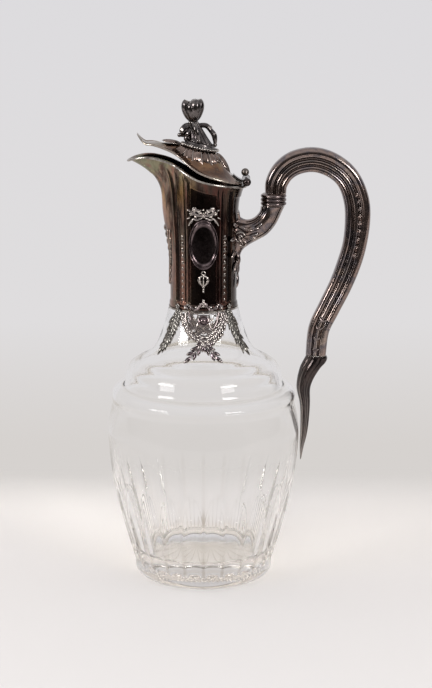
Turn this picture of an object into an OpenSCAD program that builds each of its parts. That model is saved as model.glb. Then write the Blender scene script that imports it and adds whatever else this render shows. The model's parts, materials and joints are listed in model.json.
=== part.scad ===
// Claret jug: a fluted cut-glass body in a silver neck mount with a hinged lid and a scroll handle.
// Spout towards -X, handle towards +X, origin at the centre of the foot's resting face.

/* [Glass body] */
// Radius of the resting face
foot_r = 37.8; // [34:0.2:40]
// Radius of the foot band at its top edge
band_r = 41.2; // [40.5:0.1:43]
// Height of the foot band
band_h = 7.6; // [5:0.1:10]
// Largest radius of the body
body_r = 57.2; // [55:0.2:62]
// Height of the largest radius
belly_z = 87; // [80:1:92]
// Radius of the hollow under the shoulder
waist_r = 54.2; // [52:0.1:54.6]
// Height of the hollow under the shoulder
waist_z = 105.5; // [102:0.5:107]
// Radius of the rounded shoulder
shoulder_r = 54.8; // [54:0.1:56]
// Height of the rounded shoulder
shoulder_z = 109.6; // [108.5:0.1:111]
// Radius of the stepped ring above the shoulder
step_r = 46.8; // [44:0.2:49]
// Height of the foot of the stepped ring
step_z = 116; // [114:0.5:117]
// Height of the stepped ring
step_h = 4.3; // [3:0.1:5]
// Thickness of the glass wall
glass_wall = 4; // [3:0.1:5]
// Thickness of the glass base
base_t = 16; // [10:1:22]
// Radius of the bore of the glass neck
neck_bore_r = 14.5; // [12:0.5:15.5]
// Length of glass neck that goes up inside the mount
neck_in = 24; // [14:1:32]

/* [Flutes] */
// Number of cut flutes round the lower body
flutes = 24; // [16:1:28]
// Depth of a flute at its foot
flute_depth = 1.2; // [0.8:0.1:1.6]
// Height at which the flutes run out
flute_z = 63; // [52:1:68]
// Radius of the wheel that cut the flutes
wheel_r = 13; // [11:0.5:16]

/* [Neck mount] */
// Height of the mount's lower edge
mount_z = 164; // [160:1:172]
// Radius of the straight sleeve of the mount
sleeve_r = 20; // [19:0.1:21]
// Thickness of the sleeve at its pilasters
mount_wall = 1.4; // [1.1:0.1:1.6]
// Depth of the four recessed panels
panel_depth = 0.7; // [0.3:0.1:0.8]
// Height from the lower edge to the rim at the body axis
mount_h = 75.2; // [68:0.5:84]
// Fall of the rim for each millimetre towards the hinge
rim_fall = 0.17; // [0.1:0.01:0.22]
// Rise of the rim into the spout
spout_rise = 8.4; // [5:0.2:11]
// Droop of the spout's tip
spout_droop = 5; // [3:0.2:7]
// Radius of the round part of the mouth
mouth_r = 22.2; // [21.4:0.1:23.5]
// Reach of the spout from the body axis
spout_reach = 43.2; // [38:0.2:50]
// Half width of the spout's trough
spout_w = 12; // [9:0.5:14]
// Lean of the wall's lines beside the spout, over the rim, in degrees
spout_lean = 12; // [0:1:14]
// Radius of the wire round the mouth
wire_r = 0.6; // [0.4:0.05:0.8]
// Height of the ring under the mount's lower edge
ring_h = 1.2; // [0.8:0.1:2]

/* [Hinge] */
// Distance of the hinge pin from the body axis
hinge_x = 25.1; // [24.8:0.1:27]
// Height of the hinge pin over the rim behind it
hinge_rise = 2.7; // [2.6:0.1:3.4]
// Length of the barrel over all its knuckles
barrel_l = 14; // [10:0.5:18]
// Outer radius of a knuckle
knuckle_r = 2.2; // [1.8:0.1:2.4]
// Radius of the hinge pin
pin_r = 0.95; // [0.7:0.05:1.1]
// Radial running clearance of the pin in the lid's knuckle
pin_clear = 0.05; // [0.02:0.01:0.1]
// Radius of the ball at each end of the pin
ball_r = 2.4; // [1.6:0.1:2.6]
// How far the lid stands open at rest, in degrees
ajar = 6; // [2:0.5:12]

/* [Lid] */
// Thickness of the lid's sheet
lid_t = 1; // [0.8:0.1:1.4]
// Overhang of the lid past the rim of the mouth
lid_over = 0.4; // [0:0.1:0.8]
// Reach of the lid's beak from the body axis
lid_reach = 41; // [37:0.2:47]
// Rise of the curled beak
beak_curl = 6.4; // [2:0.2:8]
// Radius of the moulded drum on the lid
drum_r = 10.2; // [8:0.2:12]
// Height of the drum
drum_h = 3.6; // [2.5:0.1:5]
// Distance of the drum from the body axis, towards the spout
drum_x = 4.1; // [2:0.1:6]
// Height of the drum's foot over the rim at the body axis
drum_rise = 14.1; // [12:0.1:18]
// Tilt of the drum, lower towards the hinge, in degrees
drum_tilt = 6.4; // [3:0.1:9]
// Radius of the bud on the lid
bud_r = 6.2; // [5:0.1:7]
// Height of the bud
bud_h = 13.4; // [10:0.2:17]
// Height of the stalk under the bud
stalk_h = 12; // [9:0.2:15]
// Radius of the screw in the stalk
screw_r = 1; // [0.8:0.1:1.2]
// Radius of the thumb knob
knob_r = 2.3; // [1.8:0.1:2.8]

/* [Handle] */
// Distance of the collar's axis from the body axis
collar_x = 40.9; // [38:0.1:46]
// Radius of the collar
collar_r = 7.6; // [6.6:0.1:8.6]
// Height of the collar
collar_h = 7.6; // [6:0.2:10]
// Height of the collar's foot over the mount's lower edge
collar_up = 58.7; // [55:0.5:64]
// Outward bulge of the loop
loop_bulge = 40; // [30:1:50]
// Height of the loop's lower end
loop_end_z = 133.5; // [130:0.5:138]
// Thickness of the loop from face to face
loop_t = 11; // [8:0.5:14]
// Height of the root where it leaves the mount
root_w = 28; // [22:1:32]
// Gap between the tail and the glass
tail_gap = 0.4; // [0.3:0.1:0.8]

/* [Ornament] */
// Half height of the oval cartouche
oval_h = 15.3; // [12:0.1:17]
// Half width of the oval cartouche
oval_w = 7.7; // [6:0.1:8.5]
// Width of the cartouche's frame
oval_frame = 1.5; // [1:0.1:2.2]
// Clearance between an applied ornament and what carries it
seat = 0.15; // [0.1:0.05:0.3]
// Number of leaf pairs on a laurel branch
leaf_pairs = 5; // [3:1:7]
// Reach of the hanging branches under the mount's lower edge
branch_drop = 26; // [22:0.5:30]
// Height of the top husk over the mount's lower edge
husk_top = 30; // [26:0.5:36]
// Distance from one husk to the next
husk_step = 4.6; // [4:0.1:5]
// Height of the top leaf of the spout's ribbon over the mount's lower edge
ribbon_top = 34; // [28:0.5:40]
// Distance from one leaf of the ribbon to the next
ribbon_step = 5; // [4.8:0.1:6]

/* [Hidden] */
$fn = 72;
eps = 0.01;

silver = "#8f867e";
dark_silver = "#5b534f";
glass = [0.86, 0.89, 0.89, 0.55];

function lerp(a, b, t) = a + (b - a) * t;
function smooth(t) = let(u = min(1, max(0, t))) u * u * (3 - 2 * u);
function unit(v) = v / norm(v);

// A smooth curve through stations of any number of values, with n steps between two stations
function curve(p, n) = [
    for (i = [0 : len(p) - 2], k = [0 : n - (i == len(p) - 2 ? 0 : 1)])
    let(t = k / n, a = p[max(0, i - 1)], b = p[i], c = p[i + 1], d = p[min(len(p) - 1, i + 2)])
    0.5 * (2 * b + (c - a) * t + (2 * a - 5 * b + 4 * c - d) * t * t + (3 * b - a - 3 * c + d) * t * t * t)
];

// A solid skinned over rings of equally many points, closed by end caps or joined into a ring
module skin(rings, ring = false) {
    m = len(rings);
    n = len(rings[0]);
    function centre(r) = [for (v = r) 1] * r / len(r);
    side = [
        for (i = [0 : m - (ring ? 1 : 2)], j = [0 : n - 1])
        let(next = (j + 1) % n, up = (i + 1) % m,
            a = i * n + j, b = i * n + next, c = up * n + next, d = up * n + j)
        each [[a, c, b], [a, d, c]]
    ];
    caps = ring ? [] : [
        for (j = [0 : n - 1])
        each [[m * n, j, (j + 1) % n], [m * n + 1, (m - 1) * n + (j + 1) % n, (m - 1) * n + j]]
    ];
    points = [for (r = rings) each r, centre(rings[0]), centre(rings[m - 1])];
    polyhedron(points, concat(side, caps), convexity = 8);
}

// Rings of a round tube along points, with a radius at each point and a reference direction
function tube(p, r, ref, n, close = false) = [
    for (i = [0 : len(p) - 1])
    let(m = len(p),
        before = p[close ? (i + m - 1) % m : max(0, i - 1)],
        after = p[close ? (i + 1) % m : min(m - 1, i + 1)],
        t = unit(after - before),
        up = unit(ref[i] - (ref[i] * t) * t),
        side = cross(t, up))
    [for (k = [0 : n - 1]) p[i] + r[i] * (cos(k * 360 / n) * up + sin(k * 360 / n) * side)]
];

// A pointed leaf that grows along +Z with its flat back on x = 0
module leaf(l, w, t) {
    polyhedron([[0, 0, 0], [0, 0, l], [0, -w / 2, l * 0.42], [0, w / 2, l * 0.42], [t, 0, l * 0.4]],
        [[0, 3, 1], [0, 1, 2], [0, 2, 4], [2, 1, 4], [1, 3, 4], [3, 0, 4]]);
}

// Outline of the glass

lower_r0 = band_r + 0.4;
lower_z0 = band_h + 0.9;
belly_curve = 1.72;
function lower_r(z) =
    lower_r0 + (body_r - lower_r0) * (1 - pow(1 - (z - lower_z0) / (belly_z - lower_z0), belly_curve));
dome_z = step_z + step_h;
dome_stations = [
    [dome_z, step_r], [dome_z + 4.7, step_r - 0.8],
    [dome_z + 9.2, step_r - 3.8], [dome_z + 12.7, step_r - 9.8],
    [lerp(dome_z, mount_z, 0.378), 31], [lerp(dome_z, mount_z, 0.53), 26.6],
    [lerp(dome_z, mount_z, 0.75), 23.2], [mount_z - ring_h, sleeve_r + 0.5]
];
dome = curve(dome_stations, 3);
function glass_r(z) = lookup(z, dome);
function glass_tilt(z) = atan((glass_r(z + 1) - glass_r(z - 1)) / 2);
glass_neck_r = sleeve_r - mount_wall - 0.6;
glass_top = mount_z + neck_in;

outer_line = concat(
    [[0, 0], [foot_r, 0]],
    [for (a = [0 : 22.5 : 90]) [foot_r + (band_r - foot_r) * sin(a), band_h * 0.8 * (1 - cos(a))]],
    [[band_r, band_h - 0.5], [band_r - 0.5, band_h], [lower_r0, lower_z0]],
    [for (i = [1 : 8]) let(z = lerp(lower_z0, belly_z, i / 8)) [lower_r(z), z]],
    [for (t = [0.2 : 0.2 : 1]) [waist_r + (body_r - waist_r) * cos(90 * t), lerp(belly_z, waist_z, t)]],
    [[shoulder_r - 0.2, lerp(waist_z, shoulder_z, 0.55)]],
    [for (a = [0 : 15 : 90]) [step_r + 0.6 + (shoulder_r - step_r - 0.6) * cos(a),
        shoulder_z + (step_z - shoulder_z) * sin(a)]],
    [[step_r, step_z + 0.4]],
    [for (v = dome) [v[1], v[0]]],
    [[glass_neck_r, mount_z - ring_h], [glass_neck_r, glass_top], [0, glass_top]]
);
floor_r = lower_r(base_t + 8) - glass_wall;
inner_line = concat(
    [[0, base_t]],
    [for (a = [0 : 30 : 90]) [floor_r - 8 + 8 * sin(a), base_t + 8 - 8 * cos(a)]],
    [for (i = [3 : 7]) let(z = lerp(lower_z0, belly_z, i / 8)) [lower_r(z) - glass_wall, z]],
    [[body_r - glass_wall, belly_z], [waist_r - glass_wall + 0.5, waist_z - 3]],
    [for (a = [0 : 22.5 : 67.5]) [step_r - glass_wall + (waist_r - step_r) * cos(a),
        waist_z + (step_z - waist_z) * sin(a)]],
    [for (i = [2 : 3 : len(dome) - 4])
        [max(neck_bore_r + 0.2, dome[i][1] - glass_wall), dome[i][0] - glass_wall / 2]],
    [[neck_bore_r, mount_z], [neck_bore_r, glass_top + 1], [0, glass_top + 1]]
);

module glass_body() {
    flute_top_r = lower_r(flute_z);
    flute_foot_r = lower_r0 - flute_depth;
    flute_lean = atan((flute_top_r - flute_foot_r) / (flute_z - lower_z0));
    flute_l = (flute_z - lower_z0) / cos(flute_lean);
    color(glass) difference() {
        rotate_extrude() polygon(outer_line);
        rotate_extrude() polygon(inner_line);
        for (i = [0 : flutes - 1])
            rotate([0, 0, (i + 0.5) * 360 / flutes])
                translate([flute_foot_r, 0, lower_z0])
                    rotate([0, flute_lean, 0])
                        translate([wheel_r, 0, 0]) cylinder(r = wheel_r, h = flute_l + 8);
    }
}

// Outline of the mouth

mouth_off = 2;
blend = 10;
function bowl_ray(a, r) = mouth_off * cos(a) + sqrt(r * r - pow(mouth_off * sin(a), 2));
function trough_ray(a, reach, w) =
    let(half = reach / 2 + 0.3, off = reach - half,
        qa = pow(cos(a) / half, 2) + pow(sin(a) / w, 2),
        qb = 2 * cos(a) * off / (half * half),
        qc = pow(off / half, 2) - 1)
    (-qb + sqrt(qb * qb - 4 * qa * qc)) / (2 * qa);
function mouth_ray(a, reach = spout_reach, more = 0) =
    let(bowl = bowl_ray(a, mouth_r + more), trough = trough_ray(a, reach, spout_w + more))
    pow(pow(bowl, blend) + pow(trough, blend), 1 / blend);
droop_x = 28;
rim_axis_z = mount_z + mount_h;
function rim_z(x) =
    rim_axis_z - rim_fall * x + spout_rise / (1 + exp((x + 11.5) / 4.2))
    - spout_droop * pow(max(0, (-x - droop_x) / (spout_reach - droop_x)), 2);
// Share of the way out to the mouth: a slow swell, then the curl of the lip
function flare(t) = 0.2 * smooth((t - 0.3) / 0.42) + 0.8 * pow(max(0, (t - 0.66) / 0.34), 3.5);
function mount_ray(a, t) = lerp(sleeve_r, mouth_ray(a), flare(t));
function mount_top(a) = rim_z(mouth_ray(a) * cos(a));
function mount_height(a, t) = lerp(mount_z, mount_top(a), t);
function mount_r(a, z) = mount_ray(a, min(1, (z - mount_z) / (mount_top(a) - mount_z)));
function mount_tilt(a, z) = atan((mount_r(a, z + 1) - mount_r(a, z - 1)) / 2);

// Half angles of the front panel, of its frame and of the pilaster beside it
panel_a = 22;
pilaster_in = 31;
pilaster_out = 48;
quarter = [0, 7, 14, panel_a - 1, panel_a, 30, pilaster_in, 39.5, pilaster_out - 1, pilaster_out,
    56, 63, 69, 74, 78, 82, 86];
// The front half runs from -90 to 90 and the back half from 90 to 270, with a station on each axis
angles = concat(
    [for (b = quarter) b - 90], [0], [for (i = [len(quarter) - 1 : -1 : 1]) 90 - quarter[i]],
    [for (b = quarter) b + 90], [180], [for (i = [len(quarter) - 1 : -1 : 1]) 270 - quarter[i]]
);
// Azimuth that a line of the wall has at a share of its height: beside the spout it leans towards the lip
lean_t0 = 0.35;
function flow(a, t) =
    let(off = (a + 360) % 360 - 180, edge = 90 - pilaster_out, still = 90 - panel_a,
        share = abs(off) < edge ? sin(90 * abs(off) / edge) : smooth((still - abs(off)) / (still - edge)))
    a - sign(off) * spout_lean * share * pow(max(0, (t - lean_t0) / (1 - lean_t0)), 1.5);
panel_t0 = 0.075;
panel_t1 = 0.9;
function from_front(a) = abs(((a + 180) % 180) - 90);
function recess(a, t) =
    let(b = from_front(a), inside = b < panel_a || b >= pilaster_out)
    inside && t > panel_t0 - eps && t < panel_t1 + eps ? panel_depth : 0;
// Thickness of the wall at the lip, as a share of the sleeve's
lip_share = 0.7;
outer_t = [0, panel_t0 - 0.012, panel_t0, 0.2, 0.3, 0.4, 0.5, 0.6, 0.7, 0.8, 0.86, panel_t1, panel_t1 + 0.012,
    0.94, 0.965, 0.985, 1];
inner_t = [1, 0.97, 0.93, 0.86, 0.8, 0.7, 0.6, 0.5, 0.4, 0.3, 0];

module neck_mount() {
    function outer_ring(t) = [
        for (a = angles) let(f = flow(a, t), r = mount_ray(f, t) - recess(a, t))
        [r * cos(f), r * sin(f), mount_height(f, t)]
    ];
    function inner_ring(t) = [
        for (a = angles)
        let(f = flow(a, t), r = mount_ray(f, t) - mount_wall * (t > 0.9 ? lip_share : 1), x = r * cos(f))
        [x, r * sin(f), t == 1 ? rim_z(x) : mount_height(f, t) + mount_wall * flare(t) * 0.9]
    ];
    rings = concat([for (t = outer_t) outer_ring(t)], [for (t = inner_t) inner_ring(t)]);
    color(silver) skin(rings, ring = true);
}

module neck_cement() {
    color("gainsboro") translate([0, 0, mount_z + 2]) difference() {
        cylinder(r = sleeve_r - mount_wall - 0.1, h = neck_in - 3);
        translate([0, 0, -1]) cylinder(r = glass_neck_r + 0.05, h = neck_in);
    }
}

module mount_foot_ring() {
    color(silver) translate([0, 0, mount_z - ring_h + 0.1]) difference() {
        cylinder(r = sleeve_r + 0.5, h = ring_h - 0.2);
        translate([0, 0, -1]) cylinder(r = glass_neck_r + 0.1, h = ring_h + 2);
    }
}

module mouth_wire() {
    path = [
        for (a = angles) let(f = flow(a, 1), r = mouth_ray(f) + wire_r + seat)
        [r * cos(f), r * sin(f), mount_top(f) - wire_r]
    ];
    up = [for (p = path) [0, 0, 1]];
    color(silver) skin(tube(path, [for (p = path) wire_r], up, 6, close = true), ring = true);
}

// Applied ornament of the mount

// Stands its child on the mount at an azimuth and a height, with the child's +X outwards,
// leaning as the mount does a little lower down
module on_mount(a, z, twist = 0, sunk = 0, below = 0) {
    rotate([0, 0, a]) translate([mount_r(a, z) - sunk, 0, z])
        rotate([0, mount_tilt(a, z - below), 0]) translate([seat, 0, 0]) rotate([twist, 0, 0]) children();
}

// The same on the glass, leaning as the glass does a little lower down
module on_glass(a, z, twist = 0, out = 0, below = 0) {
    rotate([0, 0, a]) translate([glass_r(z), 0, z])
        rotate([0, glass_tilt(z - below), 0]) translate([seat + out, 0, 0]) rotate([twist, 0, 0]) children();
}

function mount_point(a, z, out) = let(r = mount_r(a, z) + out) [r * cos(a), r * sin(a), z];
function glass_point(a, z, out) =
    let(t = glass_tilt(z), r = glass_r(z) + out * cos(t)) [r * cos(a), r * sin(a), z - out * sin(t)];
function outward(a, z) = let(t = glass_tilt(z)) [cos(t) * cos(a), cos(t) * sin(a), -sin(t)];

cartouche_z = mount_z + 38.9;
oval_steps = 40;
module oval(grow) {
    polygon([
        for (i = [0 : oval_steps - 1]) let(a = i * 360 / oval_steps)
        [(oval_w + grow) * cos(a), (oval_h + grow) * sin(a)]
    ]);
}

module cartouche(a) {
    inner = mount_r(a, cartouche_z + oval_h) + seat;
    color(silver) rotate([0, 0, a]) translate([0, 0, cartouche_z]) {
        difference() {
            intersection() {
                rotate([90, 0, 90]) linear_extrude(sleeve_r + 5) oval(0);
                difference() {
                    cylinder(r = inner + 1.6, h = 2 * oval_h + 4, center = true);
                    cylinder(r = inner, h = 2 * oval_h + 6, center = true);
                }
            }
            intersection() {
                rotate([90, 0, 90]) linear_extrude(sleeve_r + 5) oval(-oval_frame);
                difference() {
                    cylinder(r = inner + 3, h = 2 * oval_h + 4, center = true);
                    cylinder(r = inner + 0.6, h = 2 * oval_h + 6, center = true);
                }
            }
        }
    }
}

bow_z = cartouche_z + oval_h + 1.6;
module bow(a) {
    loop_off = 4.9;
    loop_w = 3.4;
    loop_h = 2.3;
    cord_r = 0.6;
    module loop(s) {
        path = [
            for (w = [0 : 30 : 330])
            let(out = loop_off + loop_w * cos(w), turn = s * out / sleeve_r * 180 / PI)
            mount_point(a + turn, bow_z + 1.6 + 0.4 * out + loop_h * sin(w), cord_r + seat + 0.1)
        ];
        out = [for (p = path) [p[0], p[1], 0]];
        skin(tube(path, [for (p = path) cord_r], out, 6, close = true), ring = true);
    }
    color(dark_silver) {
        loop(-1);
        loop(1);
        on_mount(a, bow_z) translate([1.1, 0, 0]) sphere(r = 1.2, $fn = 24);
        for (s = [-1, 1]) on_mount(a + s * 5, bow_z - 0.2, -s * 112) leaf(9, 2.6, 0.9);
    }
}

module pendant(a) {
    bead_r = 0.9;
    drop_r = 1.7;
    color(dark_silver) on_mount(a, cartouche_z - oval_h - 1.6, 0, panel_depth) {
        translate([bead_r, 0, 0]) sphere(r = bead_r, $fn = 24);
        translate([drop_r, 0, -8.4]) cylinder(r1 = bead_r, r2 = drop_r, h = 6.2, $fn = 24);
        for (i = [0, 1]) translate([bead_r, 0, -9.8 - i * 2]) sphere(r = bead_r, $fn = 24);
    }
}

shield_z = mount_z - 5.5;
module shield(a) {
    color(dark_silver) {
        on_glass(a, shield_z) rotate([0, 90, 0]) cylinder(r1 = 3.4, r2 = 1.8, h = 2.2, $fn = 24);
        for (s = [-1, 1]) {
            path = [
                for (p = curve([[25, -0.4], [20, -6], [11, -9.2], [9, -4.6], [13, -2.6]], 3))
                glass_point(a + s * p[0], mount_z - 1.6 + p[1], 0.8 + seat + 0.2)
            ];
            out = [for (p = path) [p[0], p[1], 0]];
            skin(tube(path, [for (i = [0 : len(path) - 1]) 0.8 - 0.02 * i], out, 6));
        }
    }
}

swag_half = 33;
swag_drop = 13.6;
module swag(a) {
    function swag_r(u) = lerp(1.9, 0.9, abs(u));
    shares = [for (i = [-6 : 6]) i / 6];
    path = [
        for (u = shares)
        glass_point(a + swag_half * u, mount_z - 3.2 - swag_drop * (1 - u * u), swag_r(u) + seat + 0.2)
    ];
    out = [for (p = path) [p[0], p[1], 30]];
    color(dark_silver) skin(tube(path, [for (u = shares) swag_r(u)], out, 8));
}

// A laurel branch laid on the glass between two places, each an azimuth and a height
module laurel(from, to, l, w) {
    steps = leaf_pairs;
    function at(t) = lerp(from, to, t);
    function leaning(t) =
        let(z = at(t)[1], arc = (to[0] - from[0]) * PI / 180 * glass_r(z))
        atan2(arc, (from[1] - to[1]) / cos(glass_tilt(z)));
    path = [for (i = [0 : steps + 1]) let(p = at(i / (steps + 1.3))) glass_point(p[0], p[1], 0.55 + seat)];
    out = [for (p = path) [p[0], p[1], 0]];
    skin(tube(path, [for (p = path) 0.5], out, 5));
    for (i = [0 : steps]) {
        p = at((i + 0.3) / (steps + 1.3));
        for (s = i == steps ? [0] : [-1, 1])
            on_glass(p[0], p[1], 180 + leaning(i / steps) + s * 28, 0.35, l / 2) leaf(l, w, 1.1);
    }
}

sprig_z = mount_z - 18.6;
module sprigs(a) {
    color(dark_silver) for (s = [-1, 1])
        laurel([a - s * 4, sprig_z], [a + s * 16, sprig_z - 8.5], 5.2, 2.6);
}

branch_top_a = 41;
branch_tip_a = 30;
module branches(a) {
    color(dark_silver) for (s = [-1, 1])
        laurel([a + s * branch_top_a, mount_z - 2.5], [a + s * branch_tip_a, mount_z - branch_drop], 7, 3.2);
}

husk_count = 6;
module pilaster_husks() {
    mid = (pilaster_in + pilaster_out) / 2;
    color(dark_silver) for (front = [-90, 90], s = [-1, 1], i = [0 : husk_count - 1])
        on_mount(front + s * mid, mount_z + husk_top - i * husk_step, 180, 0, husk_step / 2)
            leaf(husk_step * 0.9 - i * 0.2, 2.4 - i * 0.2, 1);
}

module spout_ribbon() {
    leaf_l = ribbon_step - 0.4;
    off_axis = 7;
    spread = 24;
    color(dark_silver) for (i = [0 : 4], s = [-1, 1])
        on_mount(180 + s * off_axis, mount_z + ribbon_top - i * ribbon_step, 180 + s * spread,
            panel_depth - 0.1, leaf_l / 2) leaf(leaf_l, 2.4, 1.1);
}

// Hinge

hinge_z = rim_z(hinge_x - 1) + hinge_rise;
lid_knuckle_l = barrel_l / 2 - 0.4;
knuckle_gap = 0.2;
fixed_l = (barrel_l - lid_knuckle_l) / 2 - knuckle_gap;

// Turns its children about the hinge pin to the lid's rest position
module lid_pose() {
    translate([hinge_x, 0, hinge_z]) rotate([0, ajar, 0])
        translate([-hinge_x, 0, -hinge_z]) children();
}

module along_pin(y) {
    translate([hinge_x, y, hinge_z]) rotate([-90, 0, 0]) children();
}

module fixed_knuckles() {
    web_foot = rim_z(hinge_x) + 0.3;
    color(silver) for (y0 = [-barrel_l / 2, barrel_l / 2 - fixed_l]) difference() {
        union() {
            along_pin(y0) cylinder(r = knuckle_r, h = fixed_l, $fn = 36);
            translate([hinge_x - 1.8, y0, web_foot]) cube([2.8, fixed_l, hinge_z - web_foot]);
        }
        along_pin(y0 - 1) cylinder(r = pin_r, h = fixed_l + 2, $fn = 36);
    }
}

module hinge_pin() {
    color("silver") {
        along_pin(-barrel_l / 2 - 0.4) cylinder(r = pin_r, h = barrel_l + 0.8, $fn = 36);
        for (s = [-1, 1])
            translate([hinge_x, s * (barrel_l / 2 + ball_r * 0.93 + 0.1), hinge_z])
                sphere(r = ball_r, $fn = 36);
    }
}

lid_back_x = hinge_x - knuckle_r - 0.5;
module lid_hinge_leaf() {
    tab_l = 5.4;
    tab_t = 1.1;
    tab_x = [for (i = [0 : 4]) lid_back_x - tab_l * i / 4];
    color(silver) lid_pose() difference() {
        union() {
            along_pin(-lid_knuckle_l / 2) cylinder(r = knuckle_r, h = lid_knuckle_l, $fn = 36);
            translate([0, lid_knuckle_l / 2, 0]) rotate([90, 0, 0]) linear_extrude(lid_knuckle_l)
                polygon(concat(
                    [[hinge_x + 0.3, hinge_z - 0.5], [hinge_x + 0.3, hinge_z + knuckle_r - 0.2]],
                    [for (x = tab_x) [x, lid_back_top(x) + seat + tab_t]],
                    [for (i = [len(tab_x) - 1 : -1 : 0]) [tab_x[i], lid_back_top(tab_x[i]) + seat]]));
        }
        along_pin(-barrel_l / 2) cylinder(r = pin_r + pin_clear, h = barrel_l, $fn = 36);
    }
}

module thumb_knob() {
    color(silver) lid_pose() translate([hinge_x - 1.3, 0, hinge_z]) {
        translate([0, 0, knuckle_r + knob_r + 0.1]) sphere(r = knob_r, $fn = 36);
    }
}

// Lid, drawn closed and turned to its rest position

lid_gap = 0.3;
function lid_edge(a) =
    let(r = mouth_ray(a, lid_reach, lid_over))
    cos(a) > 0.3 ? min(r, lid_back_x / cos(a)) : r;
function beak(x) = beak_curl * pow(max(0, (-x - lid_reach + 6) / 6), 1.5);
drum_z = rim_axis_z + drum_rise;
drum_seat = drum_r - 0.6;
function seat_z(x) = drum_z - (x + drum_x) * tan(drum_tilt);
function lid_top(x, rise, u, steep) = rim_z(x) + lid_gap + lid_t + beak(x) + pow(u, steep) * rise;
function lid_point(a, u, under) =
    let(e = lid_edge(a),
        x0 = e * cos(a), y0 = e * sin(a),
        x1 = drum_seat * cos(a) - drum_x, y1 = drum_seat * sin(a),
        x = lerp(x0, x1, u), y = lerp(y0, y1, u),
        rise = seat_z(x1) - rim_z(x1) - lid_gap - lid_t)
    [x, y, lid_top(x, rise, u, lerp(2.4, 1.6, (1 + cos(a)) / 2)) - (under ? lid_t * (1 + 1.2 * u) : 0)];
// Height of the lid's upper face on the line from the hinge to the drum
function lid_back_top(x) =
    let(x1 = drum_seat - drum_x, u = (lid_back_x - x) / (lid_back_x - x1))
    lid_top(x, seat_z(x1) - rim_z(x1) - lid_gap - lid_t, u, 1.6);
lid_rows = [0, 0.07, 0.15, 0.28, 0.42, 0.56, 0.7, 0.84, 1];
under_rows = [1, 0.75, 0.5, 0.28, 0.12, 0];

module lid_cover() {
    color(silver) lid_pose() skin(concat(
        [for (u = lid_rows) [for (a = angles) lid_point(a, u, false)]],
        [for (u = under_rows) [for (a = angles) lid_point(a, u, true)]]), ring = true);
}

module on_drum(h = 0) {
    lid_pose() translate([-drum_x, 0, drum_z]) rotate([0, drum_tilt, 0])
        translate([0, 0, h + 0.1]) children();
}

// The finial stands upright when the lid stands at its rest position
finial_lean = drum_tilt + 6;
module on_drum_upright() {
    on_drum(drum_h) rotate([0, -finial_lean, 0]) children();
}
bud_x = -4.4;
screw_hole = screw_r + 0.1;

module lid_drum() {
    color(silver) difference() {
        on_drum() rotate_extrude() polygon([
            [0, 0], [drum_r, 0], [drum_r, drum_h * 0.28],
            [drum_r - 0.8, drum_h * 0.4], [drum_r - 0.8, drum_h * 0.6],
            [drum_r - 1.7, drum_h * 0.8], [drum_r - 2.2, drum_h], [0, drum_h]
        ]);
        on_drum_upright() translate([bud_x, 0, -2 * drum_h])
            cylinder(r = screw_hole, h = 4 * drum_h, $fn = 24);
    }
}

module lid_bead_ring() {
    color(silver) on_drum(drum_h * 0.28)
        rotate_extrude() translate([drum_r + 0.7, 0]) circle(r = 0.6, $fn = 24);
}

module lid_leaf() {
    rise = 6;
    color(silver) lid_pose() translate([-drum_x - drum_r - 0.7, 0, lid_point(180, 0.97, false)[2] + 0.5])
        rotate([0, rise - 90, 0]) leaf(11, 6.5, 1.8);
}

module finial_stalk() {
    rings = 6;
    n = 24;
    top_r = 2.9;
    foot = drum_r - 2.8;
    function ring(s) = [
        for (k = [0 : n - 1])
        let(a = k * 360 / n,
            r = lerp(foot, top_r, pow(s, 0.55)) * (1 + 0.06 * cos(8 * a)),
            x = bud_x * s + r * cos(a))
        [x, r * sin(a), stalk_h * s + (0.1 - x * tan(finial_lean)) * pow(1 - s, 2)]
    ];
    color(dark_silver) difference() {
        on_drum_upright() skin([for (i = [0 : rings]) ring(i / rings)]);
        on_drum_upright() translate([bud_x, 0, -drum_h])
            cylinder(r = screw_hole, h = stalk_h + 2 * drum_h, $fn = 24);
    }
}

module scroll_arm(stations) {
    p = curve(stations, 3);
    path = [for (v = p) [v[0], v[1], v[2]]];
    skin(tube(path, [for (v = p) v[3]], [for (v = p) [0.02, 1, 0.01]], 6));
}

module side_arm(s) {
    path = curve([[-4.2, s * 4.2, 11.4, 0.8], [-3.8, s * 6.4, 11.5, 1.2], [-3, s * 8.6, 9, 1.5],
        [-2, s * 9.2, 5.6, 1.4], [-1.2, s * 8.4, 1.6, 0.9]], 3);
    skin(tube([for (v = path) [v[0], v[1], v[2]]], [for (v = path) v[3]], [for (v = path) [1, 0, 0]], 6));
}

module finial_scrolls() {
    color(dark_silver) on_drum_upright() {
        scroll_arm([[0.6, 0, 11, 1], [2.9, 0, 11.4, 1.8], [5.6, 0, 9.2, 2.2], [7.2, 0, 6.2, 2.1],
            [8.5, 0, 2.8, 1.8], [9, 0, -0.4, 1]]);
        scroll_arm([[-8.4, 0, 11, 0.9], [-10.4, 0, 10.8, 1.6], [-12, 0, 8.4, 2.1],
            [-11.4, 0, 5.6, 1.8], [-9.2, 0, 3.8, 0.9]]);
        side_arm(-1);
        side_arm(1);
    }
}

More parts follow.
